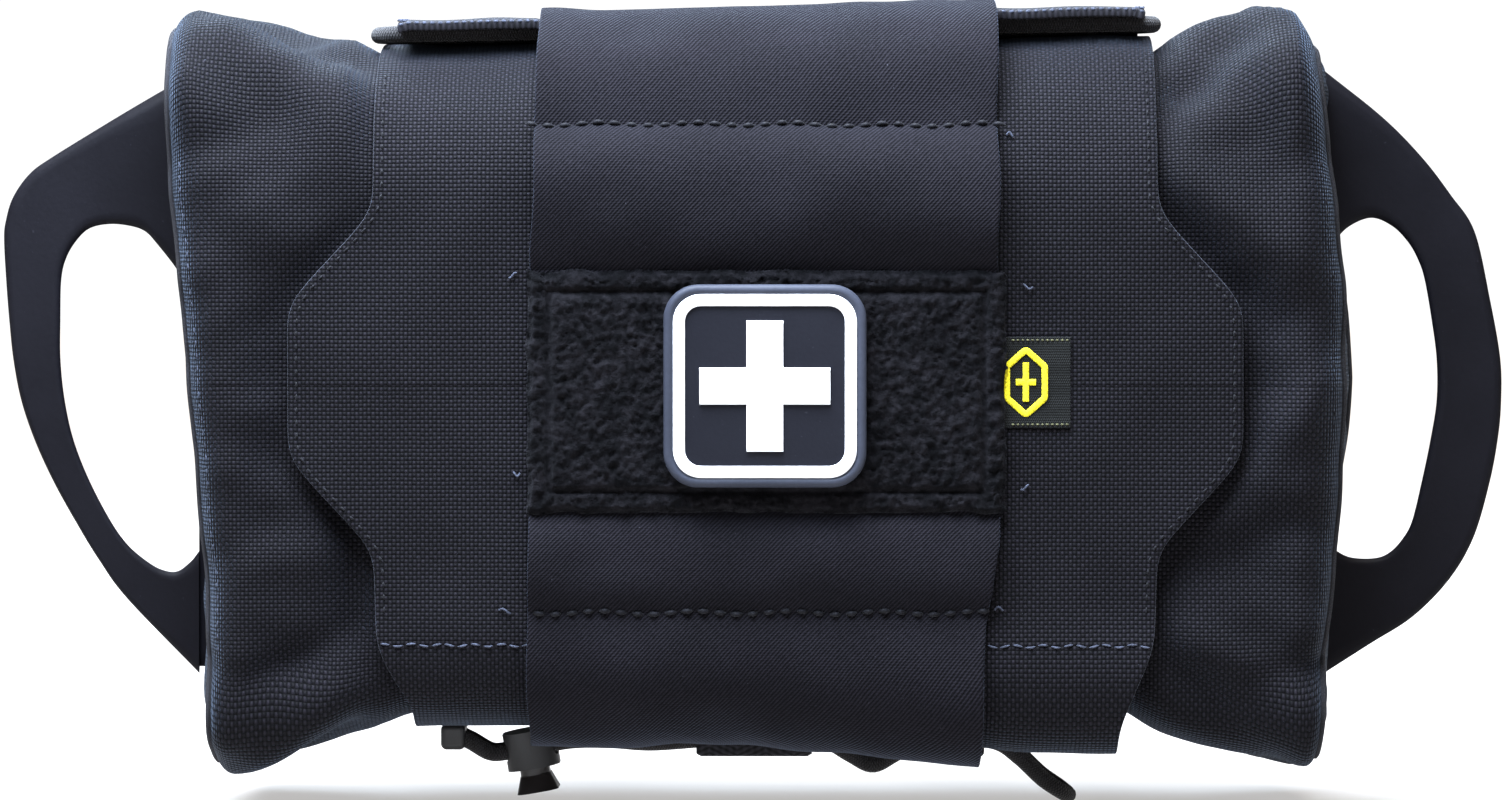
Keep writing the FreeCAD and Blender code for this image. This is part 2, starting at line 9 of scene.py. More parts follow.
import bmesh
import bpy
import numpy as np
from bpy.props import FloatProperty, FloatVectorProperty, PointerProperty
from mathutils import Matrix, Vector


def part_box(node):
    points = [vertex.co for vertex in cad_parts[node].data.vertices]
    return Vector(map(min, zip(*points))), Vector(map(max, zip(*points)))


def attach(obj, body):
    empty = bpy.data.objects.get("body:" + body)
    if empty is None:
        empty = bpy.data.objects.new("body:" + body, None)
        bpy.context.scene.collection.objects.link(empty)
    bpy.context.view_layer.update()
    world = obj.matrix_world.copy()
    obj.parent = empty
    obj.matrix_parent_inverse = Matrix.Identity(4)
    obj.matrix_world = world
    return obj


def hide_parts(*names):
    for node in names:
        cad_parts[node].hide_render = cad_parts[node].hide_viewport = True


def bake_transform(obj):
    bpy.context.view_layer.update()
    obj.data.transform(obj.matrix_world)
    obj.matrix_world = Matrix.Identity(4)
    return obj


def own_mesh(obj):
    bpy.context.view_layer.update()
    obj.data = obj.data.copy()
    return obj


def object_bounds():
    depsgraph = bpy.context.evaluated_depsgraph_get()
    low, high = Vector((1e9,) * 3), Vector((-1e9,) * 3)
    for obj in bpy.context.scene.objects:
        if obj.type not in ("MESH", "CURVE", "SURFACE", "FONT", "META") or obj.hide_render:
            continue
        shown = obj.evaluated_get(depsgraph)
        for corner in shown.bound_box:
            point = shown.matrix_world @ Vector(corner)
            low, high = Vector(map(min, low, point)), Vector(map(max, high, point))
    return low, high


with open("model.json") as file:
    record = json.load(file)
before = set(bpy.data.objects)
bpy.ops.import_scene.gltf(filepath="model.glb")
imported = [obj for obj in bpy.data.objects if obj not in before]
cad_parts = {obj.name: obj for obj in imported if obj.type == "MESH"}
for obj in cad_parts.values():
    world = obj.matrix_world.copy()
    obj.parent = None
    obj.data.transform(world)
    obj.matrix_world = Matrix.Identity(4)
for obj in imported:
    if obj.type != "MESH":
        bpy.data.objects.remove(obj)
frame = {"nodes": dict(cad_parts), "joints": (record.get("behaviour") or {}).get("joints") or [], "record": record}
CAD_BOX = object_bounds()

bl_info = {
    "name": "First aid pouch",
    "version": (1, 0, 0),
    "blender": (4, 5, 0),
    "location": "View3D > Sidebar > Pouch",
    "description": "Makes the soft and moulded pieces of a pull-out first aid pouch",
    "category": "Object",
}

MM = 0.001
CLOTH_MAP = "cloth"

# Directions that stitches stand up in, and the radius in millimetres of thread sewn through webbing.
UP = np.array([0, 0, 1.0])
REAR = np.array([0, 1.0, 0])
HEAVY_THREAD = 0.26


def edges(node):
    """Lowest and highest corner of a CAD node, in millimetres."""
    low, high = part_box(node)
    return np.array(low) / MM, np.array(high) / MM


SLEEVE_LOW, SLEEVE_HIGH = edges("sleeve")
PANEL_LOW, PANEL_HIGH = edges("back_panel")
PULL_LOW, PULL_HIGH = edges("pull_sheet")
LOOP_LOW, LOOP_HIGH = edges("loop_field")
LABEL_LOW, LABEL_HIGH = edges("label")
PATCH_LOW, PATCH_HIGH = edges("patch_base")
_, RING_HIGH = edges("patch_border")
_, CROSS_HIGH = edges("patch_cross")
CORD_LOW, CORD_HIGH = edges("top_shock_cord")
JOINTS = {joint["name"]: joint for joint in frame["joints"]}

SLEEVE_HALF = SLEEVE_HIGH[2]
WING_HALF = SLEEVE_HIGH[0]
SLEEVE_WIDE = PANEL_HIGH[0]
PULL_Y = (PULL_LOW[1] + PULL_HIGH[1]) / 2
PULL_THICK = PULL_HIGH[1] - PULL_LOW[1]


# ---------------------------------------------------------------- sizes and colours


class PouchSizes(bpy.types.PropertyGroup):
    """Sizes of the cloth and its making."""

    yarn: FloatProperty(
        name="Yarn pitch", description="Spacing of the pack cloth's yarns", default=0.00078, unit="LENGTH",
    )
    twill: FloatProperty(
        name="Twill pitch", description="Spacing of the elastic's twill", default=0.00085, unit="LENGTH",
    )
    stitch: FloatProperty(
        name="Stitch pitch", description="Spacing of the stitches", default=0.0024, unit="LENGTH",
    )
    thread: FloatProperty(
        name="Thread radius", description="Radius of the sewing thread", default=0.00022, unit="LENGTH",
    )
    pile: FloatProperty(
        name="Pile depth", description="How far the loop pile stands up", default=0.0009, unit="LENGTH",
    )
    sheet: FloatProperty(
        name="Cloth thickness", description="Thickness of the laminate", default=0.0011, unit="LENGTH",
    )


def colour(name, description, default):
    """A colour property."""
    return FloatVectorProperty(name=name, description=description, default=default, subtype="COLOR", size=3)


class PouchColours(bpy.types.PropertyGroup):
    """Colours of the pouch."""

    cloth: colour("Cloth", "Lit yarns of the pack cloth", (0.0106, 0.0096, 0.0132))
    shade: colour("Cloth shade", "Gaps between the yarns", (0.0014, 0.0014, 0.0018))
    elastic: colour("Elastic", "Lit ribs of the elastic", (0.0104, 0.0093, 0.0128))
    # The pile's tone. Its raised loops are painted 2.2 times as bright, as lit tops.
    pile: colour("Pile", "Loop pile", (0.0030, 0.0028, 0.0034))
    rubber: colour("Rubber", "Pull handles", (0.0022, 0.0020, 0.0034))
    patch: colour("Patch", "Patch's dark rubber", (0.0066, 0.0070, 0.0102))
    # Painted highlight: the patch's rim is painted a lighter grey than its body, standing for the highlight on its
    # rounded bevel.
    rim: colour("Rim", "Patch's rim", (0.026, 0.029, 0.040))
    white: colour("White", "Patch's raised rubber", (0.86, 0.86, 0.87))
    thread: colour("Thread", "Pale sewing thread", (0.040, 0.046, 0.068))
    mark: colour("Mark", "Label's plain mark", (0.72, 0.62, 0.02))


# ---------------------------------------------------------------- shader arithmetic


class Value:
    """A shader socket that Python arithmetic turns into Math nodes."""

    def __init__(self, finish, socket):
        self.finish = finish
        self.socket = socket

    def _math(self, operation, *operands):
        values = dict(enumerate(operands))
        return self.finish.make("ShaderNodeMath", {"operation": operation}, values)

    def __add__(self, other):
        return self._math("ADD", self, other)

    def __radd__(self, other):
        return self._math("ADD", other, self)

    def __sub__(self, other):
        return self._math("SUBTRACT", self, other)

    def __rsub__(self, other):
        return self._math("SUBTRACT", other, self)

    def __mul__(self, other):
        return self._math("MULTIPLY", self, other)

    def __rmul__(self, other):
        return self._math("MULTIPLY", other, self)

    def __truediv__(self, other):
        return self._math("DIVIDE", self, other)

    def __rtruediv__(self, other):
        return self._math("DIVIDE", other, self)

    def __mod__(self, other):
        return self._math("FLOORED_MODULO", self, other)

    def __rmod__(self, other):
        return self._math("FLOORED_MODULO", other, self)

    def __pow__(self, other):
        return self._math("POWER", self, other)

    def __rpow__(self, other):
        return self._math("POWER", other, self)

    def __gt__(self, other):
        return self._math("GREATER_THAN", self, other)

    def __abs__(self):
        return self._math("ABSOLUTE", self)

    def floor(self):
        return self._math("FLOOR", self)

    def cosine(self):
        return self._math("COSINE", self)

    def step(self, low, high):
        """0 at low and 1 at high, with a smooth rise between."""
        settings = {"interpolation_type": "SMOOTHSTEP"}
        return self.finish.make("ShaderNodeMapRange", settings, {0: self, 1: low, 2: high})


class Finish:
    """One material. Constants go on the shader's own sockets, and what varies is fed to it."""

    def __init__(self, name, **constants):
        self.material = bpy.data.materials.new(name)
        self.material.use_nodes = True
        self.nodes, self.links = self.material.node_tree.nodes, self.material.node_tree.links
        self.nodes.clear()
        output = self.nodes.new("ShaderNodeOutputMaterial")
        self.shader = self.nodes.new("ShaderNodeBsdfPrincipled")
        self.links.new(self.shader.outputs[0], output.inputs[0])
        for socket, value in constants.items():
            self.shader.inputs[socket.replace("_", " ").title().replace("Ior", "IOR")].default_value = value

    def make(self, kind, settings=None, values=None, output=0):
        """A node of this type: its settings first, then the values or links of its sockets."""
        node = self.nodes.new(kind)
        for name, value in (settings or {}).items():
            setattr(node, name, value)
        for key, value in (values or {}).items():
            if isinstance(value, Value):
                self.links.new(value.socket, node.inputs[key])
            else:
                node.inputs[key].default_value = value
        return Value(self, node.outputs[output])

    def mix(self, factor, first, second):
        """Colour that goes from first to second."""
        ends = [c if isinstance(c, Value) else (*c, 1.0) for c in (first, second)]
        return self.make(
            "ShaderNodeMix", {"data_type": "RGBA"}, {0: factor, 6: ends[0], 7: ends[1]}, output=2,
        )

    def cloth(self):
        """The cloth map: the vector, and its two lengths in metres."""
        vector = self.make("ShaderNodeUVMap", {"uv_map": CLOTH_MAP})
        return vector, *self.parts(vector)[:2]

    def place(self):
        """The piece's own coordinates: the vector, and x, y and z in metres."""
        vector = self.make("ShaderNodeTexCoord", output=3)
        return vector, *self.parts(vector)

    def parts(self, vector):
        """The vector's x, y and z."""
        split = self.make("ShaderNodeSeparateXYZ", values={0: vector}).socket.node
        return [Value(self, socket) for socket in split.outputs]

    def noise(self, vector, scale, detail=2.0, roughness=0.5):
        """Soft noise from 0 to 1, this many waves to the metre."""
        settings = {"noise_dimensions": "3D"}
        values = {"Vector": vector, "Scale": scale, "Detail": detail, "Roughness": roughness}
        return self.make("ShaderNodeTexNoise", settings, values)

    def feed(self, socket, value):
        """Links a value to one of the shader's sockets."""
        self.links.new(value.socket, self.shader.inputs[socket])

    def bump(self, height, distance, strength=1.0):
        """Relief this deep in metres, by the shading only."""
        values = {"Height": height, "Strength": strength, "Distance": distance}
        self.feed("Normal", self.make("ShaderNodeBump", {}, values))


def dome(across, along):
    """Height of one float of yarn, from -0.5 to 0.5 across it and along it."""
    return (1 - across * across * 3.4) * (0.35 + (along * math.pi).cosine() * 0.65)


def weave(finish, u, v, pitch):
    """Plain weave: height from 0 to 1, and 1 where a warp yarn is on top."""
    a, b = u / pitch, v / pitch
    over = (a.floor() + b.floor()) % 2
    across, along = a % 1 - 0.5, b % 1 - 0.5
    return dome(across, along) * (1 - over) + dome(along, across) * over, 1 - over


def cloth_finish(name, sizes, lit, shade, wear=0.35):
    """Coarse nylon pack cloth: round yarns, warp floats that catch the light, lint, and slight wear."""
    finish = Finish(
        name, sheen_weight=0.14, sheen_roughness=0.3, sheen_tint=(0.55, 0.72, 1.0, 1.0),
        specular_ior_level=0.06,
    )
    vector, u, v = finish.cloth()
    wobble = (finish.noise(vector, 260.0, 2.0) - 0.5) * 0.00022
    height, warp = weave(finish, u + wobble, v - wobble, sizes.yarn)
    patches = finish.noise(vector, 34.0, 3.0, 0.6)
    yarns = finish.noise(vector, 900.0, 1.0)
    lift = height * (0.42 + warp * 0.5) * (0.55 + yarns * 0.8) * (1 - wear + patches * 2 * wear)
    base = finish.mix(lift.step(0.05, 0.95), shade, lit)
    lint = finish.noise(vector, 1500.0, 2.0).step(0.74, 0.80) * 0.5
    finish.feed("Base Color", finish.mix(lint, base, (0.05, 0.053, 0.068)))
    finish.feed("Roughness", 0.82 - height * 0.22)
    finish.bump(height + yarns * 0.25, 0.00028, 0.85)
    return finish.material


def elastic_finish(name, sizes, lit, shade):
    """Woven elastic: fine diagonal ribs over a faint grid."""
    finish = Finish(
        name, sheen_weight=0.13, sheen_roughness=0.35, sheen_tint=(0.6, 0.72, 1.0, 1.0),
        specular_ior_level=0.05,
    )
    vector, u, v = finish.cloth()
    wobble = (finish.noise(vector, 180.0, 2.0) - 0.5) * 0.0007
    diagonal = ((v - u + wobble) * (2 * math.pi / sizes.twill)).cosine() * 0.5 + 0.5
    ribs = (v * (2 * math.pi / (sizes.twill * 0.52))).cosine() * 0.5 + 0.5
    fuzz = finish.noise(vector, 1100.0, 2.0, 0.7)
    cloudy = finish.noise(vector, 45.0, 3.0, 0.6)
    height = diagonal * 0.6 + ribs * 0.18 + fuzz * 0.55
    lift = height * (0.62 + cloudy * 0.55)
    base = finish.mix(lift.step(0.15, 1.15), shade, lit)
    lint = finish.noise(vector, 1700.0, 1.0).step(0.77, 0.83) * 0.45
    finish.feed("Base Color", finish.mix(lint, base, (0.05, 0.05, 0.064)))
    finish.feed("Roughness", 0.9 - height * 0.15)
    finish.bump(height, 0.00022, 0.8)
    return finish.material


def pile_finish(name, tone):
    """Brushed loop pile: dark, with painted shade in its hollows and the raised tangled loops painted lighter as
    lit tops.
    """
    finish = Finish(
        name, sheen_weight=0.03, sheen_roughness=0.5, sheen_tint=(0.6, 0.62, 0.7, 1.0),
        specular_ior_level=0.05,
    )
    vector, *_ = finish.place()
    tangle = finish.noise(vector, 620.0, 4.0, 0.75)
    clumps = finish.noise(vector, 170.0, 2.0, 0.6)
    # Painted light: the colour follows the pile's height, with a near-black painted shade low down and a painted
    # highlight of 2.2 times the tone on the loop tops.
    lift = (tangle * 0.8 + clumps * 0.5).step(0.54, 0.80)
    finish.feed("Base Color", finish.mix(lift, (0.0018, 0.0018, 0.0022), tuple(2.2 * c for c in tone)))
    finish.feed("Roughness", 1.0 - lift * 0.1)
    finish.bump(tangle + clumps * 0.6, 0.0006, 1.0)
    return finish.material


def rubber_finish(name, tone, roughness=0.55, grain=900.0, depth=0.00006, wear=0.25):
    """Satin rubber with a fine grain, faint scuffs and dust."""
    finish = Finish(name, specular_ior_level=0.08)
    vector, *_ = finish.place()
    fine = finish.noise(vector, grain, 3.0, 0.6)
    broad = finish.noise(vector, 28.0, 3.0, 0.6)
    lighter = tuple(min(1.0, c * (1 + 2.2 * wear) + 0.001) for c in tone)
    base = finish.mix((broad * 0.7 + fine * 0.3).step(0.32, 0.72), tone, lighter)
    dust = finish.noise(vector, 1300.0, 1.0).step(0.76, 0.80) * 0.35
    finish.feed("Base Color", finish.mix(dust, base, (0.04, 0.04, 0.05)))
    finish.feed("Roughness", roughness + broad * 0.18 - 0.06)
    finish.bump(fine, depth, 0.6)
    return finish.material


def webbing_finish(name, lit, shade, pitch=0.0011):
    """Ribbed webbing: chevrons of coarse yarn across the strip, made on the cloth map."""
    finish = Finish(
        name, sheen_weight=0.06, sheen_roughness=0.4, sheen_tint=(0.7, 0.76, 0.95, 1.0),
        specular_ior_level=0.14,
    )
    vector, u, v = finish.cloth()
    fold = abs((v / (pitch * 5)) % 2 - 1) * pitch * 2.5
    ribs = ((u + fold) * (2 * math.pi / pitch)).cosine() * 0.5 + 0.5
    cords = (v * (2 * math.pi / (pitch * 1.25))).cosine() * 0.5 + 0.5
    fuzz = finish.noise(vector, 1000.0, 2.0, 0.6)
    height = ribs * 0.55 + cords * 0.35 + fuzz * 0.3
    finish.feed("Base Color", finish.mix(height.step(0.2, 1.1), shade, lit))
    finish.feed("Roughness", 0.85 - height * 0.15)
    finish.bump(height, 0.00025, 0.8)
    return finish.material


def braid_finish(name, lit, shade, turns=8.0, pitch=0.0042):
    """Braided cord cover: crossing strands round the cord. The map is length along it, then turns round it."""
    finish = Finish(name, sheen_weight=0.1, specular_ior_level=0.25)
    vector, u, v = finish.cloth()
    one = ((u / pitch + v) * turns * math.pi).cosine()
    other = ((u / pitch - v) * turns * math.pi).cosine()
    height = abs(one * other)
    finish.feed("Base Color", finish.mix(height.step(0.0, 0.9), shade, lit))
    finish.feed("Roughness", 0.8 - height * 0.2)
    finish.bump(height, 0.0002, 0.9)
    return finish.material


def moulded_finish(name, tone, roughness=0.4, metallic=0.0, wear=0.2):
    """Moulded or coated hard piece with a faint spark texture and rubbed patches."""
    finish = Finish(name, specular_ior_level=0.5)
    vector, *_ = finish.place()
    spark = finish.noise(vector, 1800.0, 2.0, 0.6)
    rubbed = finish.noise(vector, 90.0, 3.0, 0.65).step(0.45, 0.75)
    lighter = tuple(min(1.0, c + wear * (0.5 - 0.4 * c) * 0.3) for c in tone)
    finish.feed("Base Color", finish.mix(rubbed, tone, lighter))
    finish.feed("Roughness", roughness + spark * 0.15 + rubbed * 0.08)
    finish.feed("Metallic", metallic - rubbed * metallic * 0.1)
    finish.bump(spark, 0.00003, 0.5)
    return finish.material


def thread_finish(name, tone):
    """Twisted sewing thread."""
    finish = Finish(name, sheen_weight=0.04, specular_ior_level=0.12)
    vector, *_ = finish.place()
    twist = finish.noise(vector, 2400.0, 1.0)
    finish.feed(
        "Base Color",
        finish.mix(twist.step(0.3, 0.7), tuple(0.55 * c for c in tone), tuple(1.3 * c for c in tone)),
    )
    finish.feed("Roughness", 0.55 + twist * 0.2)
    finish.bump(twist, 0.00006, 0.7)
    return finish.material


def film_finish(name, tone, crinkle=0.0006, roughness=0.25, coat=0.3):
    """Heat-sealed film or foil over something soft: crinkled and glossy."""
    finish = Finish(name, specular_ior_level=0.6, coat_weight=coat, coat_roughness=0.2)
    vector, *_ = finish.place()
    creases = finish.noise(vector, 140.0, 5.0, 0.65)
    broad = finish.noise(vector, 40.0, 2.0)
    finish.feed("Base Color", finish.mix(broad, tuple(0.75 * c for c in tone), tone))
    finish.feed("Roughness", roughness + creases * 0.25)
    finish.bump(creases, crinkle, 0.8)
    return finish.material


FINISHES = {}


def make_finishes(sizes, colours):
    """Every material of the pouch, by the record's slot or a plain name."""
    cloth, shade = tuple(colours.cloth), tuple(colours.shade)
    elastic = tuple(colours.elastic)
    FINISHES.update(
        pack_cloth=cloth_finish("pack_cloth", sizes, cloth, shade),
        laminate_cloth=cloth_finish(
            "laminate_cloth", sizes, tuple(1.12 * c for c in cloth), shade, wear=0.25,
        ),
        elastic=elastic_finish("elastic", sizes, elastic, tuple(0.75 * c for c in shade)),
        loop_pile=pile_finish("loop_pile", tuple(colours.pile)),
        hook_tape=pile_finish("hook_tape", tuple(0.8 * c for c in colours.pile)),
        webbing=webbing_finish("webbing", (0.0150, 0.0142, 0.0185), (0.0022, 0.0022, 0.0028)),
        edge_tape=webbing_finish("edge_tape", (0.024, 0.022, 0.025), (0.003, 0.003, 0.004), pitch=0.0007),
        label_weave=webbing_finish("label_weave", (0.007, 0.008, 0.007), (0.002, 0.002, 0.002), pitch=0.0004),
        label_mark=thread_finish("label_mark", tuple(colours.mark)),
        label_edge=thread_finish("label_edge", (0.10, 0.10, 0.05)),
        shock_cord=braid_finish("shock_cord", (0.018, 0.016, 0.018), (0.0025, 0.0025, 0.003)),
        pull_rubber=rubber_finish("pull_rubber", tuple(colours.rubber), roughness=0.6, wear=0.2),
        patch_rubber=rubber_finish(
            "patch_rubber", tuple(colours.patch), roughness=0.5, grain=1400.0, wear=0.12,
        ),
        # The rim's lighter grey is a painted highlight on its rounded bevel.
        patch_rim=rubber_finish("patch_rim", tuple(colours.rim), roughness=0.42, grain=1400.0, wear=0.2),
        patch_white=rubber_finish(
            "patch_white", tuple(colours.white), roughness=0.5, grain=1400.0, wear=0.02,
        ),
        lock_plastic=moulded_finish("lock_plastic", (0.0055, 0.0055, 0.0065), 0.42, wear=0.04),
        button_plastic=moulded_finish("button_plastic", (0.014, 0.011, 0.011), 0.3, wear=0.1),
        spring_wire=moulded_finish("spring_wire", (0.55, 0.55, 0.56), 0.3, metallic=1.0, wear=0.1),
        snap_metal=moulded_finish("snap_metal", (0.030, 0.030, 0.032), 0.32, metallic=0.7, wear=0.6),
        stiffener_sheet=rubber_finish("stiffener_sheet", (0.0025, 0.0025, 0.003), roughness=0.8),
        cut_edge=thread_finish("cut_edge", (0.050, 0.054, 0.070)),
        dark_thread=thread_finish("dark_thread", (0.004, 0.004, 0.006)),
        pale_thread=thread_finish("pale_thread", tuple(colours.thread)),
        tourniquet_strap=rubber_finish(
            "tourniquet_strap", (0.55, 0.12, 0.02), 0.8, grain=1500.0, depth=0.0002,
        ),
        tourniquet_plastic=moulded_finish("tourniquet_plastic", (0.015, 0.015, 0.016), 0.45),
        dressing_wrap=film_finish("dressing_wrap", (0.55, 0.53, 0.45)),
        glove_film=film_finish("glove_film", (0.03, 0.08, 0.25), roughness=0.2),
        airway_rubber=rubber_finish("airway_rubber", (0.62, 0.52, 0.24), 0.35, wear=0.1),
    )


# ---------------------------------------------------------------- shape helpers


def rounded_path(corners, radii, step=0.5, closed=True):
    """Points at even steps along a polygon whose corners are arcs of the given radii."""
    corners = [np.array(c, float) for c in corners]
    count, points = len(corners), []
    for i, corner in enumerate(corners):
        inner = closed or 0 < i < count - 1
        if not inner or radii[i] <= 0:
            points.append(corner[None])
            continue
        a, b = corners[i - 1] - corner, corners[(i + 1) % count] - corner
        a, b = a / np.linalg.norm(a), b / np.linalg.norm(b)
        half = math.acos(max(-1.0, min(1.0, float(a @ b)))) / 2
        bisector = (a + b) / np.linalg.norm(a + b)
        centre = corner + bisector * radii[i] / math.sin(half)
        first, last = corner + a * radii[i] / math.tan(half), corner + b * radii[i] / math.tan(half)
        start = math.atan2(*(first - centre)[::-1])
        sweep = (math.atan2(*(last - centre)[::-1]) - start + math.pi) % (2 * math.pi) - math.pi
        angles = start + sweep * np.linspace(0, 1, 24)
        points.append(centre + radii[i] * np.stack([np.cos(angles), np.sin(angles)], 1))
    points = np.concatenate(points)
    if closed:
        points = np.concatenate([points, points[:1]])
    return even(points, step)[: -1 if closed else None]


def lengths(points):
    """Distance along a line of points, at each point."""
    return np.concatenate([[0], np.cumsum(np.linalg.norm(np.diff(points, axis=0), axis=1))])


def even(points, step=None, count=None):
    """The same line with its points evenly spaced."""
    along = lengths(points)
    count = count or max(2, int(round(along[-1] / step)) + 1)
    at = np.linspace(0, along[-1], count)
    return np.stack([np.interp(at, along, column) for column in points.T], 1)


def blur(values, width):
    """Closed row of values averaged over a bell this many samples wide."""
    reach = int(3 * width)
    bell = np.exp(-0.5 * (np.arange(-reach, reach + 1) / width) ** 2)
    bell /= bell.sum()
    return sum(w * np.roll(values, k, axis=0) for w, k in zip(bell, range(-reach, reach + 1)))


def smooth(x, low, high):
    """0 below low, 1 above high, with a smooth rise between."""
    t = np.clip((x - low) / (high - low), 0, 1)
    return t * t * (3 - 2 * t)


def hump(x, low, high):
    """1 in the middle between low and high, 0 outside."""
    t = np.clip((x - low) / (high - low), 0, 1)
    return np.sin(math.pi * t) ** 2


class Section:
    """Closed outline in the YZ plane, walked by arc length upwards from the middle of its front."""

    def __init__(self, half, front, back, radii, soften):
        corners = [(front, 0), (front, half), (back, half), (back, -half), (front, -half)]
        points = rounded_path(corners, [0, *radii], 0.25)
        points = blur(points, soften / 0.25)
        self.along = lengths(np.concatenate([points, points[:1]]))
        self.length = self.along[-1]
        self.points = np.concatenate([points, points[:1]])
        turn = np.roll(points, -1, 0) - np.roll(points, 1, 0)
        turn /= np.linalg.norm(turn, axis=1)[:, None]
        outward = np.stack([-turn[:, 1], turn[:, 0]], 1)
        self.outward = np.concatenate([outward, outward[:1]])

    def at(self, s):
        """y, z and the outward direction's y and z at arc length s."""
        s = np.mod(s, self.length)
        columns = [*self.points.T, *self.outward.T]
        return [np.interp(s, self.along, column) for column in columns]

    def find(self, z):
        """Arc length of the height z on the front half."""
        s = np.linspace(-0.27, 0.27, 2001) * self.length
        heights = self.at(s)[1]
        return float(np.interp(z, heights, s))


SKIN = Section(SLEEVE_HALF, SLEEVE_LOW[1], SLEEVE_HIGH[1], [30.0, 9.0, 9.0, 17.0], 3.5)


def ripple(x, s, wave, seed, period=None, count=12):
    """Smooth random relief of about -1 to 1, whose waves are about this long. It repeats round the section."""
    random = np.random.RandomState(seed)
    period = period or SKIN.length
    total = np.zeros(np.broadcast(x, s).shape)
    for _ in range(count):
        angle = random.uniform(0, 2 * math.pi)
        long = wave * random.uniform(0.75, 1.4)
        turns = round(period * math.sin(angle) / long)
        total += np.cos(
            2 * math.pi * (x * math.cos(angle) / long + turns * s / period) + random.uniform(0, 7)
        )
    return total / math.sqrt(count) / 1.2


def fold(x, s, start, end, height, width):
    """A soft ridge, or a valley where height is negative, between two points, fading at its ends."""
    start, end = np.array(start, float), np.array(end, float)
    run = end - start
    t = ((x - start[0]) * run[0] + (s - start[1]) * run[1]) / (run @ run)
    near = np.clip(t, 0, 1)
    gap = np.hypot(x - start[0] - near * run[0], s - start[1] - near * run[1])
    return height * np.exp(-((gap / width) ** 2)) * (0.35 + 0.65 * hump(near, -0.25, 1.25))


def grid_mesh(name, points, uv, ring=False):
    """Quads over an (n, m, 3) grid of points in millimetres. uv has one more column where the rows close."""
    n, m = points.shape[:2]
    i, j = np.meshgrid(np.arange(n - 1), np.arange(m if ring else m - 1), indexing="ij")
    following = (j + 1) % m
    faces = np.stack(
        [i * m + j, (i + 1) * m + j, (i + 1) * m + following, i * m + following], -1,
    ).reshape(-1, 4)
    loops = np.stack([uv[i, j], uv[i + 1, j], uv[i + 1, j + 1], uv[i, j + 1]], 2).reshape(-1, 2)
    return raw_mesh(name, points.reshape(-1, 3), faces, loops)


def front_map(points):
    """Cloth map of a ringed grid: its x and z, with the first column again at the end."""
    flat = points[..., [0, 2]]
    return np.concatenate([flat, flat[:, :1]], 1)


def raw_mesh(name, points, faces, loops=None):
    """A smooth-shaded object of quads, from points in millimetres and a cloth map in millimetres."""
    mesh = bpy.data.meshes.new(name)
    mesh.vertices.add(len(points))
    mesh.vertices.foreach_set("co", (np.asarray(points) * MM).astype(np.float32).ravel())
    mesh.loops.add(faces.size)
    mesh.loops.foreach_set("vertex_index", faces.astype(np.int32).ravel())
    mesh.polygons.add(len(faces))
    size = faces.shape[1]
    mesh.polygons.foreach_set("loop_start", np.arange(0, faces.size, size, dtype=np.int32))
    mesh.polygons.foreach_set("loop_total", np.full(len(faces), size, np.int32))
    mesh.polygons.foreach_set("use_smooth", np.ones(len(faces), bool))
    if loops is not None:
        mesh.uv_layers.new(name=CLOTH_MAP).data.foreach_set("uv", (loops * MM).astype(np.float32).ravel())
    mesh.update()
    mesh.validate()
    piece = bpy.data.objects.new(name if name not in bpy.data.objects else f"{name}_looks", mesh)
    bpy.context.scene.collection.objects.link(piece)
    return piece


def finished(piece, finish, body, replaces=()):
    """Gives a piece its material and body, and hides the CAD nodes that it stands for."""
    piece.data.materials.clear()
    piece.data.materials.append(FINISHES[finish])
    if replaces:
        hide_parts(*replaces)
    if body:
        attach(piece, body)
    return piece


def baked(piece):
    """Replaces the piece's mesh by what its modifiers make of it."""
    bpy.context.view_layer.update()
    graph = bpy.context.evaluated_depsgraph_get()
    mesh = bpy.data.meshes.new_from_object(piece.evaluated_get(graph))
    piece.modifiers.clear()
    old, piece.data = piece.data, mesh
    bpy.data.meshes.remove(old)
    return piece


def thickened(piece, thickness, offset=-1.0, soft_edge=0.0, cut_edge=None):
    """Gives a sheet its thickness, inwards by default, and rounds or finishes its cut edges."""
    solid = piece.modifiers.new("thickness", "SOLIDIFY")
    solid.thickness, solid.offset = thickness * MM, offset
    if cut_edge:
        piece.data.materials.append(FINISHES[cut_edge])
        solid.material_offset_rim = 1
    if soft_edge:
        bevel = piece.modifiers.new("edge", "BEVEL")
        bevel.width, bevel.segments, bevel.limit_method = soft_edge * MM, 2, "ANGLE"
        bevel.angle_limit = math.radians(50)
    return baked(piece)


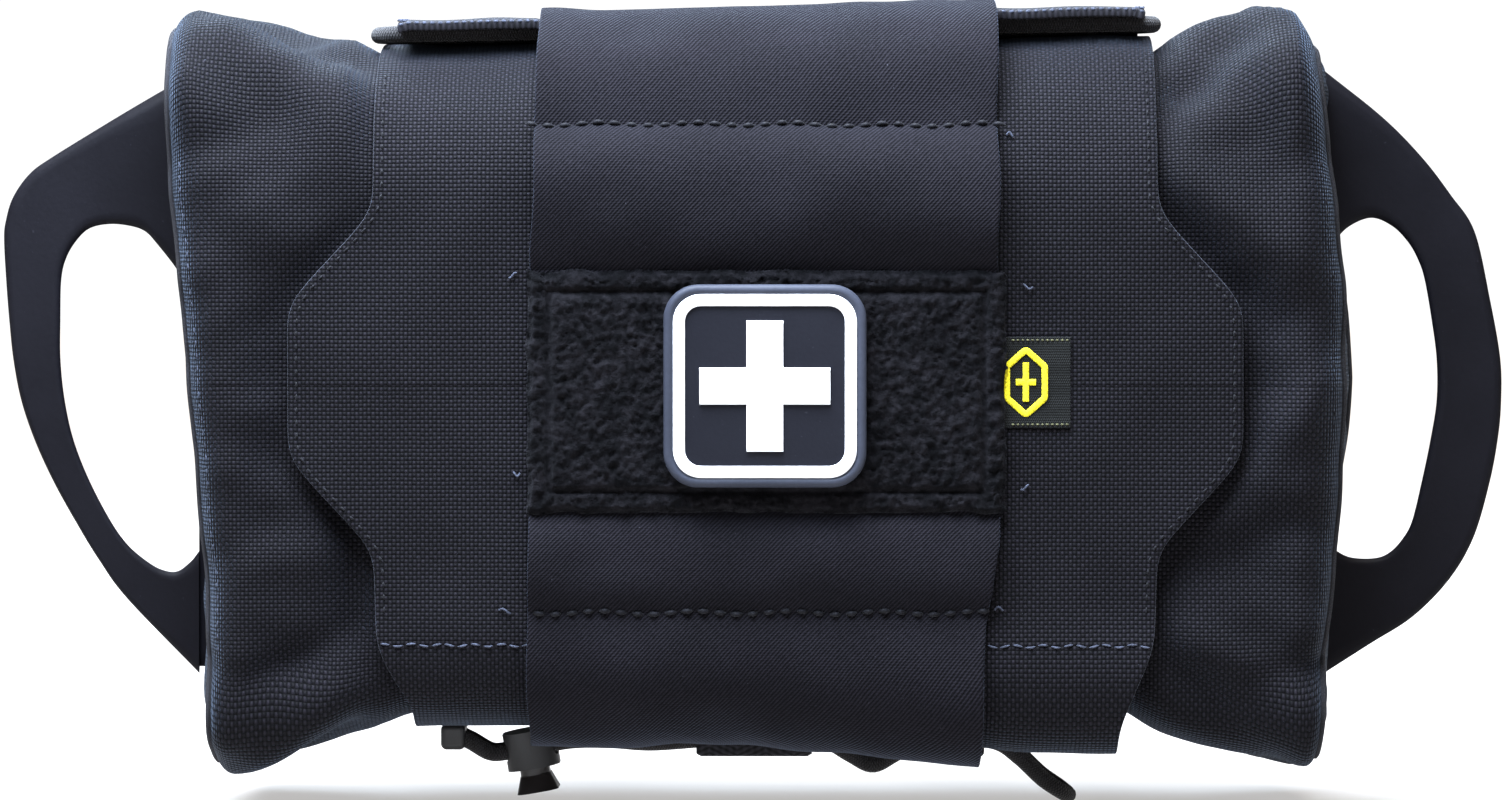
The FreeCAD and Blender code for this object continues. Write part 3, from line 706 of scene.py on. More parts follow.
def tube_mesh(name, path, radius, around=12, closed=False, flat=1.0, normals=None):
    """Tube round a line of points in millimetres, squeezed across its normals where flat is under 1."""
    path = np.asarray(path, float)
    along = np.gradient(path, axis=0)
    if closed:
        along = np.roll(path, -1, 0) - np.roll(path, 1, 0)
    along /= np.linalg.norm(along, axis=1)[:, None]
    if normals is None:
        normals = np.zeros_like(path)
        side = np.cross(along[0], [0.3, 0.2, 0.93])
        for i, direction in enumerate(along):
            side = side - direction * (side @ direction)
            side = side / np.linalg.norm(side)
            normals[i] = side
    binormals = np.cross(along, normals)
    angle = np.linspace(0, 2 * math.pi, around, endpoint=False)
    radius = np.broadcast_to(radius, len(path))[:, None, None]
    ring = (
        np.cos(angle)[None, :, None] * normals[:, None] * flat
        + np.sin(angle)[None, :, None] * binormals[:, None]
    )
    points = path[:, None] + ring * radius
    distance = lengths(path)
    uv = np.stack(np.broadcast_arrays(distance[:, None], np.linspace(0, 1, around + 1)[None] / MM), -1)
    if closed:
        points = np.concatenate([points, points[:1]])
        uv = np.concatenate([uv, uv[-1:] + [[[distance[1], 0]]]])
    piece = grid_mesh(name, points, uv, ring=True)
    if closed:
        weld(piece)
    else:
        cap_ends(piece, len(path), around)
    return piece


def weld(piece, gap=0.00001):
    """Joins points that lie together."""
    modifier = piece.modifiers.new("weld", "WELD")
    modifier.merge_threshold = gap
    return baked(piece)


def cap_ends(piece, rows, around):
    """Closes both ends of a tube with a face."""
    shape = bmesh.new()
    shape.from_mesh(piece.data)
    shape.verts.ensure_lookup_table()
    shape.faces.new([shape.verts[k] for k in range(around)])
    shape.faces.new([shape.verts[(rows - 1) * around + k] for k in reversed(range(around))])
    shape.to_mesh(piece.data)
    shape.free()


def spline(points, count):
    """Smooth line through given points."""
    points = np.asarray(points, float)
    padded = np.concatenate([2 * points[:1] - points[1:2], points, 2 * points[-1:] - points[-2:-1]])
    out = []
    for i in range(len(points) - 1):
        p0, p1, p2, p3 = padded[i : i + 4]
        t = np.linspace(0, 1, 24, endpoint=False)[:, None]
        out.append(
            0.5 * (
                2 * p1 + (p2 - p0) * t + (
                    2 * p0 - 5 * p1 + 4 * p2 - p3
                ) * t**2 + (3 * p1 - p0 - 3 * p2 + p3) * t**3
            )
        )
    return even(np.concatenate([*out, points[-1:]]), count=count)


def stitches(
    name, path, outward, pitch, radius, share=0.62, sink=0.3, finish="dark_thread", body="carrier", jitter=0.1
):
    """A row of short raised stitches along a line. outward is one direction or one for each point."""
    path = np.asarray(path, float)
    along = lengths(path)
    count = max(2, int(along[-1] / pitch))
    outward = np.broadcast_to(outward, path.shape)
    random = np.random.RandomState(len(path) + count)
    ring, rows = 6, 6
    angle = np.linspace(0, 2 * math.pi, ring, endpoint=False)
    points, faces = [], []
    for k in range(count):
        centre = (k + 0.5) * along[-1] / count
        reach = pitch * share / 2 * random.uniform(1 - jitter, 1 + jitter)
        t = np.linspace(-1, 1, rows)
        at = centre + t * reach
        line = np.stack([np.interp(at, along, c) for c in path.T], 1)
        up = np.stack([np.interp(at, along, c) for c in outward.T], 1)
        up /= np.linalg.norm(up, axis=1)[:, None]
        run = np.gradient(line, axis=0)
        run /= np.linalg.norm(run, axis=1)[:, None]
        side = np.cross(run, up)
        girth = radius * np.sqrt(np.clip(1 - 0.92 * t**2, 0, 1))
        line = line + up * (radius * (1 - sink - 0.9 * t**2))[:, None]
        loop = np.cos(angle)[None, :, None] * side[:, None] + np.sin(angle)[None, :, None] * up[:, None]
        start = len(points) * ring * rows
        points.append((line[:, None] + loop * girth[:, None, None]).reshape(-1, 3))
        i, j = np.meshgrid(np.arange(rows - 1), np.arange(ring), indexing="ij")
        nxt = (j + 1) % ring
        block = np.stack(
            [i * ring + j, (i + 1) * ring + j, (i + 1) * ring + nxt, i * ring + nxt], -1,
        ).reshape(-1, 4)
        ends = np.array([[0, 1, 2, 3], [0, 3, 4, 5]])
        faces.append(np.concatenate([block, ends, ends[:, ::-1] + (rows - 1) * ring]) + start)
    piece = raw_mesh(name, np.concatenate(points), np.concatenate(faces))
    return finished(piece, finish, body)


# ---------------------------------------------------------------- the pouch's own surfaces


def slack(x, s):
    """How far the sleeve hangs below the roll: under the front edge, more towards the right."""
    low = SKIN.find(-SLEEVE_HALF + 6.0)
    return 5.6 * smooth(x, -8.0, 58.0) * hump(s, low - 34.0, low + 20.0)


def slope(x, s):
    """The top of the pouch rises a little towards the right."""
    return 0.014 * x * smooth(s, SKIN.find(50.0), SKIN.find(50.0) + 18.0) * (1 - smooth(s, 108.0, 125.0))


def sleeve_lift(x, s):
    """How far the sleeve's outer face stands off its plain section."""
    signed = np.mod(s + SKIN.length / 2, SKIN.length) - SKIN.length / 2
    lift = slack(x, signed) + slope(x, signed) + 0.3 * ripple(x, s, 38.0, 5) + 0.12 * ripple(x, s, 14.0, 6)
    lift += 0.5 * smooth(np.abs(x), 66.0, 92.0) * (0.6 + 0.5 * ripple(x, s, 30.0, 8))
    lift -= 0.8 * hump(x, -68.0, -24.0) * hump(signed, -116.0, -74.0)
    for side in (-1, 1):
        lift += (
            fold(x, signed, (side * 48, 40), (side * 72, 8), 0.5, 7)
            + fold(x, signed, (side * 47, -20), (side * 70, -44), -0.5, 6)
        )
    return lift


def surface(x, s, lift):
    """Points this far outside the plain section."""
    y, z, ny, nz = SKIN.at(s)
    return np.stack(np.broadcast_arrays(x, y + ny * lift, z + nz * lift), -1)


def outward_at(s):
    """Direction straight out of the plain section."""
    _, _, ny, nz = SKIN.at(s)
    return np.stack(np.broadcast_arrays(0 * ny, ny, nz), -1)


def sleeve_edge(s):
    """The sleeve's half width at arc length s: wings on the front, narrower under the bottom."""
    s = np.mod(s + SKIN.length / 2, SKIN.length) - SKIN.length / 2
    turn, under = -SKIN.find(-50.0), SKIN.length / 2
    stations = [-under, -128, -112, -turn - 13, -turn, -31.5, -14, 15.5, 33, under]
    widths = [
        SLEEVE_WIDE, SLEEVE_WIDE, 67.5, 67.5, SLEEVE_WIDE - 0.5, SLEEVE_WIDE, WING_HALF, WING_HALF,
        SLEEVE_WIDE, SLEEVE_WIDE,
    ]
    fine = np.linspace(-under, under, 1600, endpoint=False)
    return np.interp(s, fine, blur(np.interp(fine, stations, widths), 11))


# Height and x of the roll's two end edges.
LEFT_RIM = [
    (-75, -105.5), (-60, -106.0), (-40, -106.4), (-26, -107.4), (-10, -109.2), (5, -110.0), (20, -111.8),
    (36, -113.2), (50, -113.9), (70, -114.4),
]
RIGHT_RIM = [
    (-76, 105.0), (-60, 106.4), (-45, 107.4), (-30, 108.8), (0, 110.2), (20, 110.0), (35, 108.9), (50, 107.2),
    (62, 105.6), (72, 103.0),
]
# x, and how far the roll flares out of the sleeve's section there, above and below.
TOP_FLARE = [
    (-115, 6.4), (-110, 7.4), (-104, 6.0), (-98, 3.2), (-92, 1.2), (-86, 1.4), (-80, 2.4), (-75, 0.8),
    (-60, 0), (60, 0), (75, 0.8), (83, 3.0), (90, 4.6), (97, 7.6), (102, 8.0), (106, 4.5), (111, -1.0),
]
LOW_FLARE = [
    (-114, 7.6), (-106, 10.2), (-99, 9.0), (-92, 7.4), (-84, 5.4), (-74, 1.8), (-62, 0), (60, 0), (70, 0.8),
    (76, 3.0), (84, 5.6), (91, 7.4), (98, 9.0), (104, 11.0), (112, 11.5),
]
# Two ends of each fold as x and arc length, then its height and width. Valleys have negative heights.
FOLDS = [
    ((-108, 74), (-80, 56), 1.6, 8), ((-97, 84), (-74, 66), -2.2, 5), ((-92, 62), (-74, 40), 0.9, 6),
    ((-79, -20), (-76, -52), -2.6, 6), ((-104, -78), (-78, -54), 1.8, 5), ((-102, -60), (-78, -46), -1.2, 4),
    ((-98, -36), (-78, -30), 0.9, 5), ((-100, -88), (-74, -66), -2.4, 5), ((-108, 20), (-96, -8), 0.7, 6),
    ((77, 56), (86, 68), -3.0, 6), ((80, 82), (98, 74), 2.0, 6), ((74, 44), (99, 24), 1.5, 5),
    ((79, 32), (97, 12), -1.1, 4.5), ((94, -16), (109, 4), 1.1, 5), ((77, -36), (101, -28), -1.3, 6),
    ((75, -54), (97, -70), -1.6, 5), ((77, -46), (105, -60), 1.3, 5), ((96, 60), (108, 34), 0.8, 5),
    ((78, -86), (104, -78), -1.8, 5), ((-86, 96), (-104, 118), 1.2, 7), ((88, 98), (104, 120), 1.2, 7),
]


def roll_lift(x, s, left, right):
    """How far the roll's outer face stands off the sleeve's section: cinched in the middle, flared at its ends."""
    signed = np.mod(s + SKIN.length / 2, SKIN.length) - SKIN.length / 2
    _, _, ny, nz = SKIN.at(s)
    up, down = smooth(nz, 0.25, 0.95), smooth(-nz, 0.25, 0.95)
    free = smooth(np.abs(x), 76.0, 98.0)
    open_front = smooth(np.abs(x), 91.0, 103.0)
    lift = -2.0 + up * np.interp(x, *zip(*TOP_FLARE)) + down * np.interp(x, *zip(*LOW_FLARE))
    lift += smooth(-ny, 0.3, 0.9) * (open_front * 1.4 + 0.3) + smooth(ny, 0.3, 0.9) * free * 1.2
    relief = sum(fold(x, signed, *f) for f in FOLDS)
    lift += 1.45 * relief * smooth(np.abs(x), 72.0, 80.0)
    lift += (
        free * (0.95 * ripple(x, s, 30.0, 21) + 0.32 * ripple(x, s, 12.0, 22)) + 0.25 * ripple(x, s, 26.0, 23)
    )
    edge = np.abs(x) - sleeve_edge(s)
    lift -= 1.5 * np.exp(-((np.clip(edge - 0.5, 0, None) / 5.0) ** 2)) * (edge > -3)
    rim = 8.0 - 4.6 * (up + down)
    for distance in (x - left, right - x):
        e = np.clip(distance, 0, rim)
        lift -= rim - np.sqrt(np.clip(rim**2 - (rim - e) ** 2, 0, None))
    return lift


def rim_at(s, table):
    """Where the roll's end edge lies at arc length s. The rear half bulges a little further out."""
    y, z, _, _ = SKIN.at(s)
    sign = 1 if table[-1][1] > 0 else -1
    rear = smooth(y, PULL_Y - 6, PULL_Y + 18) * hump(z, -62.0, 58.0)
    bulge = 7.0 if sign > 0 else 2.2
    return np.interp(z, *zip(*table)) + sign * bulge * rear + 0.35 * ripple(0, s, 22.0, 31 + sign)


def roll_rows(table_left, table_right, s):
    """x of each row of the roll, closer together towards its ends. Shape (rows, s)."""
    left, right = rim_at(s, table_left)[None], rim_at(s, table_right)[None]
    ends = 9.0 * (1 - np.cos(np.linspace(0, math.pi / 2, 14)))[:, None]
    middle = np.linspace(0, 1, 130)[1:-1, None]
    rows = [left + ends, left + 9 + (right - left - 18) * middle, right - ends[::-1]]
    return np.concatenate([np.broadcast_to(r, (len(r), len(s))) for r in rows]), left, right


class RollBody(bpy.types.Operator):
    """The padded roll: its outer wrap and the two gathered ends"""

    bl_idname = "pouch.roll_body"
    bl_label = "Roll"

    def execute(self, context):
        count = 300
        s = np.linspace(0, SKIN.length, count + 1)
        x, left, right = roll_rows(LEFT_RIM, RIGHT_RIM, s)
        lift = roll_lift(x, s[None], left, right)
        points = surface(x, s[None], lift)
        uv = np.stack(np.broadcast_arrays(x, s[None]), -1)
        rim = 8.0
        for edge, sign in ((left, 1), (right, -1)):
            e = np.clip((x - edge) * sign, 0, rim)
            uv[..., 0] -= sign * (rim * (math.pi / 2 - np.arccos((rim - e) / rim)) - (rim - e))
        piece = grid_mesh("roll", points[:, :-1], uv, ring=True)
        finished(piece, "pack_cloth", "roll", replaces=["roll_wrap"])
        for side, ring in ((-1, points[0]), (1, points[-1])):
            self.end(side, ring[:-1], s[:-1])
            self.binding(side, ring[:-1])
        self.rim_stitches(context.scene.pouch_sizes)
        return {"FINISHED"}

    def rim_stitches(self, sizes):
        """Stitches beside each rim, down the front: pale on the left and dark on the right."""
        s = np.linspace(SKIN.find(-52.0), SKIN.find(44.0), 200)
        left, right = rim_at(s, LEFT_RIM), rim_at(s, RIGHT_RIM)
        for name, x, thread in (("left", left + 1.9, "pale_thread"), ("right", right - 1.9, "dark_thread")):
            points = surface(x, s, roll_lift(x, s, left, right) + 0.02)
            row = stitches(
                f"rim_stitches_{name}", points, outward_at(s), sizes.stitch / MM, 0.13, share=0.45,
                finish=thread, body="roll",
            )

    def end(self, side, ring, s):
        """Gathered end wall, from the rim in to the slit that the pull sheet comes through."""
        name = "roll_end_right" if side > 0 else "roll_end_left"
        inner = ring.copy()
        gap = np.where(ring[:, 1] < PULL_Y, -1.0, 1.0) * (PULL_THICK / 2 + 0.35)
        inner[:, 1] = PULL_Y + gap
        inner[:, 2] = np.clip(ring[:, 2] * 0.9, PULL_LOW[2] - 1.5, PULL_HIGH[2] + 1.5)
        inner[:, 0] = side * (PULL_HIGH[0] - 1.6)
        rear = smooth(ring[:, 1], PULL_Y - 4, PULL_Y + 10)
        t = np.linspace(0, 1, 34)[:, None, None]
        points = ring[None] * (1 - t) + inner[None] * t
        puff = (1.2 + 1.2 * rear)[None] * np.sin(math.pi * t[..., 0]) ** 0.8
        pleats = 0.45 * ripple(0, s * 3, 30.0, 40 + side)[None] * np.sin(math.pi * t[..., 0])
        pleats += 0.35 * ripple(points[..., 2], points[..., 1], 16.0, 44 + side) * np.sin(math.pi * t[..., 0])
        points[..., 0] += side * (puff + pleats - 0.8 * smooth(t[..., 0], 0, 0.12))
        uv = points[..., [2, 1]]
        uv = np.concatenate([uv, uv[:, :1]], 1)
        order = slice(None) if side < 0 else slice(None, None, -1)
        piece = grid_mesh(name, points[order][::-1], uv[order][::-1], ring=True)
        finished(piece, "pack_cloth", "roll", replaces=[name])
        thickened(piece, 0.7)

    def binding(self, side, ring):
        """Grosgrain tape over the rim."""
        name = "roll_binding_right" if side > 0 else "roll_binding_left"
        path = ring.copy()
        path[:, 0] += side * 0.1
        normals = np.tile([float(side), 0.0, 0.0], (len(path), 1))
        piece = tube_mesh(name, path, 1.25, around=10, closed=True, flat=0.62, normals=normals)
        finished(piece, "edge_tape", "roll", replaces=[name])


class Sleeve(bpy.types.Operator):
    """The laminated sleeve with its wings, hem stitches and edge"""

    bl_idname = "pouch.sleeve"
    bl_label = "Sleeve"

    def execute(self, context):
        sizes = context.scene.pouch_sizes
        rows = 320
        s = np.linspace(0, SKIN.length, rows + 1)
        half = sleeve_edge(s)[None]
        across = np.linspace(-1, 1, 150)[:, None]
        x = across * half
        points = surface(x, s[None], sleeve_lift(x, s[None]))
        uv = np.stack(np.broadcast_arrays(x, s[None]), -1)
        piece = grid_mesh("sleeve", points[:, :-1], uv, ring=True)
        finished(piece, "laminate_cloth", "carrier", replaces=["sleeve"])
        thickened(piece, sizes.sheet / MM, soft_edge=0.2, cut_edge="cut_edge")
        self.hem(sizes)
        return {"FINISHED"}

    def row(self, name, x, s, sizes, **options):
        """Stitches on the sleeve through the given x and s."""
        points = surface(x, s, sleeve_lift(x, s) + 0.05)
        options = {"share": 0.7, "finish": "dark_thread", **options}
        return stitches(name, points, outward_at(s), sizes.stitch / MM, sizes.thread / MM, **options)

    def hem(self, sizes):
        """Pale stitches along the hem, and dark ones beside each wing edge."""
        hem = SKIN.find(-49.5)
        for side, start, end in (("left", -73.6, -44.0), ("right", 42.0, 73.4)):
            x = np.linspace(start, end, 60)
            wave = 0.25 * np.sin(x * 1.1)
            self.row(f"hem_stitches_{side}", x, hem + wave, sizes, finish="pale_thread", share=0.8)
        s = np.linspace(SKIN.find(-44.0), SKIN.find(60.0), 240)
        for side in (-1, 1):
            name = "edge_stitches_right" if side > 0 else "edge_stitches_left"
            self.row(name, side * (sleeve_edge(s) - 1.7), s, sizes, share=0.5, sink=0.7)


# Heights of the elastic's seams. Then each channel's two edges and its bulge: an edge below -60 or
# above 60 is an arc length, and any other is a height.
LOWER_SEAM, UPPER_SEAM = -43.1, 48.8
CHANNELS = [
    (-118.0, LOWER_SEAM, 2.4), (LOWER_SEAM, -24.1, 2.9), (-24.1, 21.9, 0.0), (21.9, UPPER_SEAM, 4.2),
    (UPPER_SEAM, 100.0, 2.8),
]


def channel_stations():
    """Arc length of each seam across the elastic, and how far it bulges between them."""
    rows = []
    for low, high, bulge in CHANNELS:
        low_s = SKIN.find(low) if low > -60 else low
        high_s = SKIN.find(high) if high < 60 else high
        rows.append((low_s, high_s, bulge))
    return rows


ELASTIC_TOP, ELASTIC_BOTTOM = 108.0, -82.0
ELASTIC_SHEET = 1.5


def elastic_lift(x, s):
    """How far the elastic's outer face stands off the plain section."""
    lift = sleeve_lift(x, s) + ELASTIC_SHEET
    for low, high, bulge in channel_stations():
        inside = (s >= low) & (s <= high)
        t = np.clip((s - low) / (high - low), 0, 1)
        shape = (1 - np.abs(2 * t - 1) ** 2.6) * bulge
        lift = lift + np.where(inside, shape * (1 + 0.16 * ripple(x, s, 40.0, 51)), 0)
    y = SKIN.at(s)[0]
    lift += 3.0 * hump(s, 48.0, 88.0)
    lift += (
        1.3 * smooth(y, -68.0, -57.0) * (1 - smooth(y, -43.0, -33.0)) * (s > 0)
        + 0.16 * ripple(x, s, 16.0, 52)
        + 0.9 * smooth(x, 5.0, 40.0) * smooth(s, SKIN.find(52.0), SKIN.find(60.0))
    )
    end = np.minimum(s - ELASTIC_BOTTOM, ELASTIC_TOP - s)
    return lift - 1.0 * (1 - smooth(end, 0, 4))


class ElasticBand(bpy.types.Operator):
    """The wide elastic over the front, with its sewn channels"""

    bl_idname = "pouch.elastic_band"
    bl_label = "Elastic band"

    def execute(self, context):
        sizes = context.scene.pouch_sizes
        stations = [low for low, _, _ in channel_stations()[1:]]
        s = np.sort(
            np.concatenate(
                [
                    np.linspace(ELASTIC_BOTTOM, ELASTIC_TOP, 260),
                    *[k + np.array([-0.4, -0.12, 0.12, 0.4]) for k in stations],
                ]
            )
        )
        left = np.interp(s, [-68, 0, 66], [-45.4, -44.8, -43.4]) + 0.3 * ripple(0, s, 20.0, 53)
        right = np.interp(s, [-68, -45, -30, 66], [41.2, 42.0, 44.6, 44.1]) + 0.3 * ripple(0, s, 20.0, 54)
        across = np.linspace(0, 1, 110)[:, None]
        x = left[None] + across * (right - left)[None]
        points = surface(x, s[None], elastic_lift(x, s[None]))
        piece = grid_mesh("elastic_band", points, np.stack(np.broadcast_arrays(x, s[None]), -1))
        thickened(piece, ELASTIC_SHEET - 0.25, soft_edge=0.3)
        finished(piece, "elastic", "carrier", replaces=["elastic_band"])
        self.seams(sizes)
        return {"FINISHED"}

    def seams(self, sizes):
        """Heavy seams between the channels, and loose thread tails at the band's edges."""
        for name, z, reach in (("upper", UPPER_SEAM, 46.0), ("lower", LOWER_SEAM, 44.5)):
            x = np.linspace(-reach, reach - (1.5 if z < 0 else 0), 120)
            s = SKIN.find(z) + 0.35 * np.sin(x * 0.35) + 0 * x
            lift = elastic_lift(x, s)
            points = surface(x, s, lift - 0.05)
            stitches(f"elastic_seam_{name}", points, outward_at(s), 3.1, 0.5, share=0.72, sink=0.1)
        tails = [
            (45.9, 47.4, 1.2), (-47.2, 20.9, -1.4), (49.0, 18.8, 1.8), (-46.6, -16.8, -1.2),
            (48.6, -19.4, 1.5), (-48.4, -43.0, -2.2), (43.6, -42.6, 1.6),
        ]
        for k, (x0, z0, run) in enumerate(tails):
            s0 = SKIN.find(z0)
            t = np.linspace(0, 1, 5)
            x, s = x0 + run * t, s0 + 0.5 * np.sin(4 * t + k)
            lift = sleeve_lift(x, s) + 0.3 + 0.25 * np.sin(math.pi * t)
            tail = tube_mesh(f"thread_tail_{k + 1}", spline(surface(x, s, lift), 16), 0.2, around=6)
            finished(tail, "pale_thread", "carrier")


class LoopField(bpy.types.Operator):
    """The loop pile field with its box stitch"""

    bl_idname = "pouch.loop_field"
    bl_label = "Loop field"

    def execute(self, context):
        sizes = context.scene.pouch_sizes
        x = np.linspace(LOOP_LOW[0] - 0.2, LOOP_HIGH[0] - 1.4, 260)[:, None]
        s = np.linspace(SKIN.find(LOOP_LOW[2]), SKIN.find(LOOP_HIGH[2]), 130)[None]
        random = np.random.RandomState(7)
        edge = np.minimum(np.minimum(x - x[0], x[-1] - x), np.minimum(s - s[0, 0], s[0, -1] - s))
        seam = np.abs(edge - 4.2)
        tufts = random.normal(0, 1, (len(x), s.shape[1]))
        tufts = (tufts + np.roll(tufts, 1, 0) + np.roll(tufts, 1, 1)) / 3
        clumps = ripple(x, s, 3.2, 61, count=18) + 0.8 * ripple(x, s, 1.9, 62, count=18)
        pile = sizes.pile / MM
        lift = LOOP_HIGH[1] - LOOP_LOW[1] + ELASTIC_SHEET - 0.2
        lift = lift + pile * (0.22 * clumps + 0.30 * tufts) * (0.4 + 0.6 * smooth(seam, 0.2, 1.4))
        lift -= 1.1 * np.exp(-((seam / 0.7) ** 2)) + 0.35 * (edge < 4.2) + 1.3 * (1 - smooth(edge, 0, 1.4))
        lift += sleeve_lift(x, s) * 0.6
        wander = 0.25 * ripple(x, s, 9.0, 63)
        points = surface(x + wander * (edge < 2), s + wander * (edge < 2), lift)
        piece = grid_mesh("loop_field", points, np.stack(np.broadcast_arrays(x, s), -1))
        thickened(piece, 1.4)
        finished(piece, "loop_pile", "carrier", replaces=["loop_field"])
        return {"FINISHED"}


class Label(bpy.types.Operator):
    """The woven label with a plain yellow mark"""

    bl_idname = "pouch.label"
    bl_label = "Label"

    def execute(self, context):
        low, high = LABEL_LOW - [1.2, 0, 0], LABEL_HIGH - [1.2, 0, 0]
        x = np.linspace(low[0], high[0], 30)[:, None]
        s = np.linspace(SKIN.find(low[2]), SKIN.find(high[2]), 36)[None]
        lift = sleeve_lift(x, s) + 0.55 + 0.15 * ripple(x, s, 12.0, 71)
        piece = grid_mesh("label", surface(x, s, lift), np.stack(np.broadcast_arrays(x, s), -1))
        thickened(piece, 0.5, soft_edge=0.1)
        finished(piece, "label_weave", "carrier", replaces=["label"])
        self.mark(low, high)
        for name, level in (("top", high[2] - 0.6), ("bottom", low[2] + 0.6)):
            x = np.linspace(low[0] + 2.4, high[0] - 0.2, 40)
            s = SKIN.find(level) + 0 * x
            lift = sleeve_lift(x, s) + 0.62
            stitches(f"label_edge_{name}", surface(x, s, lift), outward_at(s), 0.9, 0.16, finish="label_edge")
        return {"FINISHED"}

    def mark(self, low, high):
        """A plain upright lozenge round a small cross, in raised yellow thread."""
        middle_x, middle_z = (low[0] + high[0]) / 2 - 1.6, (low[2] + high[2]) / 2
        outline = [(0, 6.2), (3.6, 3.0), (3.6, -3.0), (0, -6.2), (-3.6, -3.0), (-3.6, 3.0)]
        strokes = [
            rounded_path(outline, [0.6] * 6, 0.3),
            rounded_path([(-1.9, 0), (1.9, 0)], [0, 0], 0.3, closed=False),
        ]
        strokes.append(rounded_path([(0, 3.7), (0, -3.7)], [0, 0], 0.3, closed=False))
        for k, stroke in enumerate(strokes):
            x, s = stroke[:, 0] + middle_x, stroke[:, 1] + SKIN.find(middle_z)
            points = surface(x, s, sleeve_lift(x, s) + 0.75)
            stroke_piece = tube_mesh(f"label_mark_{k + 1}", points, 0.62, around=8, closed=k == 0)
            finished(stroke_piece, "label_mark", "carrier")
            flatten(stroke_piece, points[:, 1].mean() * MM, 0.35)


def flatten(piece, level, share):
    """Squeezes a piece's mesh towards a plane of constant y."""
    for vertex in piece.data.vertices:
        vertex.co.y = level + (vertex.co.y - level) * share


# ---------------------------------------------------------------- handles


# Outer and grip outlines of each handle, as height and distance out from its root.
OUTLINES = {
    "handle_left": (
        [
            (60.7, 0), (57.0, 6.6), (51.1, 16.7), (43.7, 28.8), (40.4, 33.2), (35.8, 36.4), (31.1, 37.8),
            (27.6, 38.1), (19.8, 37.7), (11.9, 37.1), (4.1, 36.3), (-3.8, 34.8), (-11.6, 32.2),
            (-19.4, 28.7), (-27.3, 24.4), (-35.1, 19.7), (-42.9, 14.0), (-57.4, 0),
        ],
        [
            (15.6, 0), (17.8, 1.7), (22.1, 4.4), (26.6, 7.9), (29.2, 10.3), (30.3, 13.2), (30.7, 17.3),
            (29.9, 21.2), (27.6, 23.8), (24.1, 25.9), (19.8, 26.9), (11.9, 27.1), (4.1, 27.1),
            (-3.8, 26.3), (-11.6, 24.6), (-19.4, 21.6), (-27.3, 17.5), (-32.0, 14.2), (-35.1, 10.7),
            (-37.0, 7.5), (-37.4, 4.4), (-35.5, 1.7), (-33.4, 0),
        ],
    ),
    "handle_right": (
        [
            (60.6, 0), (51.5, 11.4), (43.8, 19.0), (36.4, 24.7), (29.2, 29.4), (15.8, 32.5), (4.5, 34.5),
            (-3.8, 34.7), (-11.0, 34.1), (-19.8, 32.5), (-30.6, 29.4), (-38.8, 24.7), (-46.1, 17.6),
            (-51.5, 9.2), (-57.4, 0),
        ],
        [
            (25.0, 0), (26.6, 1.4), (30.1, 4.7), (31.9, 9.2), (30.3, 13.3), (27.2, 16.4), (23.7, 18.4),
            (19.8, 19.7), (11.9, 21.1), (4.1, 22.1), (-3.8, 22.1), (-11.6, 20.9), (-19.4, 19.3),
            (-27.3, 17.4), (-30.8, 15.6), (-33.5, 13.1), (-34.7, 10.1), (-34.5, 5.2), (-32.6, 1.6),
            (-31.4, 0),
        ],
    ),
}
# How far inside the hinge line each handle starts.
ROOT = 3.5


def handle_curves(name, side, count):
    """Outer and grip outlines of a handle in x and z, matched by their direction from the middle of its root."""
    root = JOINTS[name + "_fold"]["pos_m"][0] / MM - side * ROOT
    outer, grip = (spline(points, number) for points, number in zip(OUTLINES[name], (count, 900)))
    turn = [np.unwrap(np.arctan2(curve[:, 1], curve[:, 0] + 4.0)) for curve in (outer, grip)]
    grip = np.stack([np.interp(turn[0], turn[1], column) for column in grip.T], 1)
    return [np.stack([root + side * curve[:, 1], curve[:, 0]], 1) for curve in (outer, grip)]


class Handles(bpy.types.Operator):
    """The two die-cut rubber handles"""

    bl_idname = "pouch.handles"
    bl_label = "Handles"

    def execute(self, context):
        for side, name in ((-1, "handle_left"), (1, "handle_right")):
            self.handle(side, name)
        self.middle()
        return {"FINISHED"}

    def middle(self):
        """The sheet inside the roll that joins the handles."""
        ends = [JOINTS[name]["pos_m"][0] / MM for name in ("handle_left_fold", "handle_right_fold")]
        low, high = PULL_LOW[2], PULL_HIGH[2]
        path = even(np.array([(PULL_Y, low), (PULL_Y, high)]), 3.0)
        piece = strip_mesh("pull_sheet", path, ends[0] + ROOT, ends[1] - ROOT, PULL_THICK)
        finished(piece, "pull_rubber", "roll", replaces=["pull_sheet"])

    def handle(self, side, name):
        """One die-cut handle: rounded edges, and a slight wave away from its root."""
        outer, grip = handle_curves(name, side, 240)
        width = np.linalg.norm(outer - grip, axis=1)
        t = np.linspace(0, 1, 15)
        half, edge = PULL_THICK / 2, 0.45
        ring = []
        for w, face in [(w, 1) for w in t] + [(w, -1) for w in t[::-1]]:
            near = np.minimum(w, 1 - w) * width
            depth = half * np.sqrt(np.clip(1 - (1 - np.clip(near / edge, 0, 1)) ** 2, 0.04, 1))
            flat = outer * (1 - w) + grip * w
            wave = 0.5 * ripple(flat[:, 0], flat[:, 1], 60.0, 81) * smooth(np.abs(flat[:, 0]), 116.0, 135.0)
            ring.append(np.stack([flat[:, 0], PULL_Y + face * depth * -side + wave, flat[:, 1]], 1))
        points = np.stack(ring, 1)
        piece = grid_mesh(name + "_sheet", points, front_map(points), ring=True)
        finished(piece, "pull_rubber", None, replaces=[name])
        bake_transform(piece)


# ---------------------------------------------------------------- patch


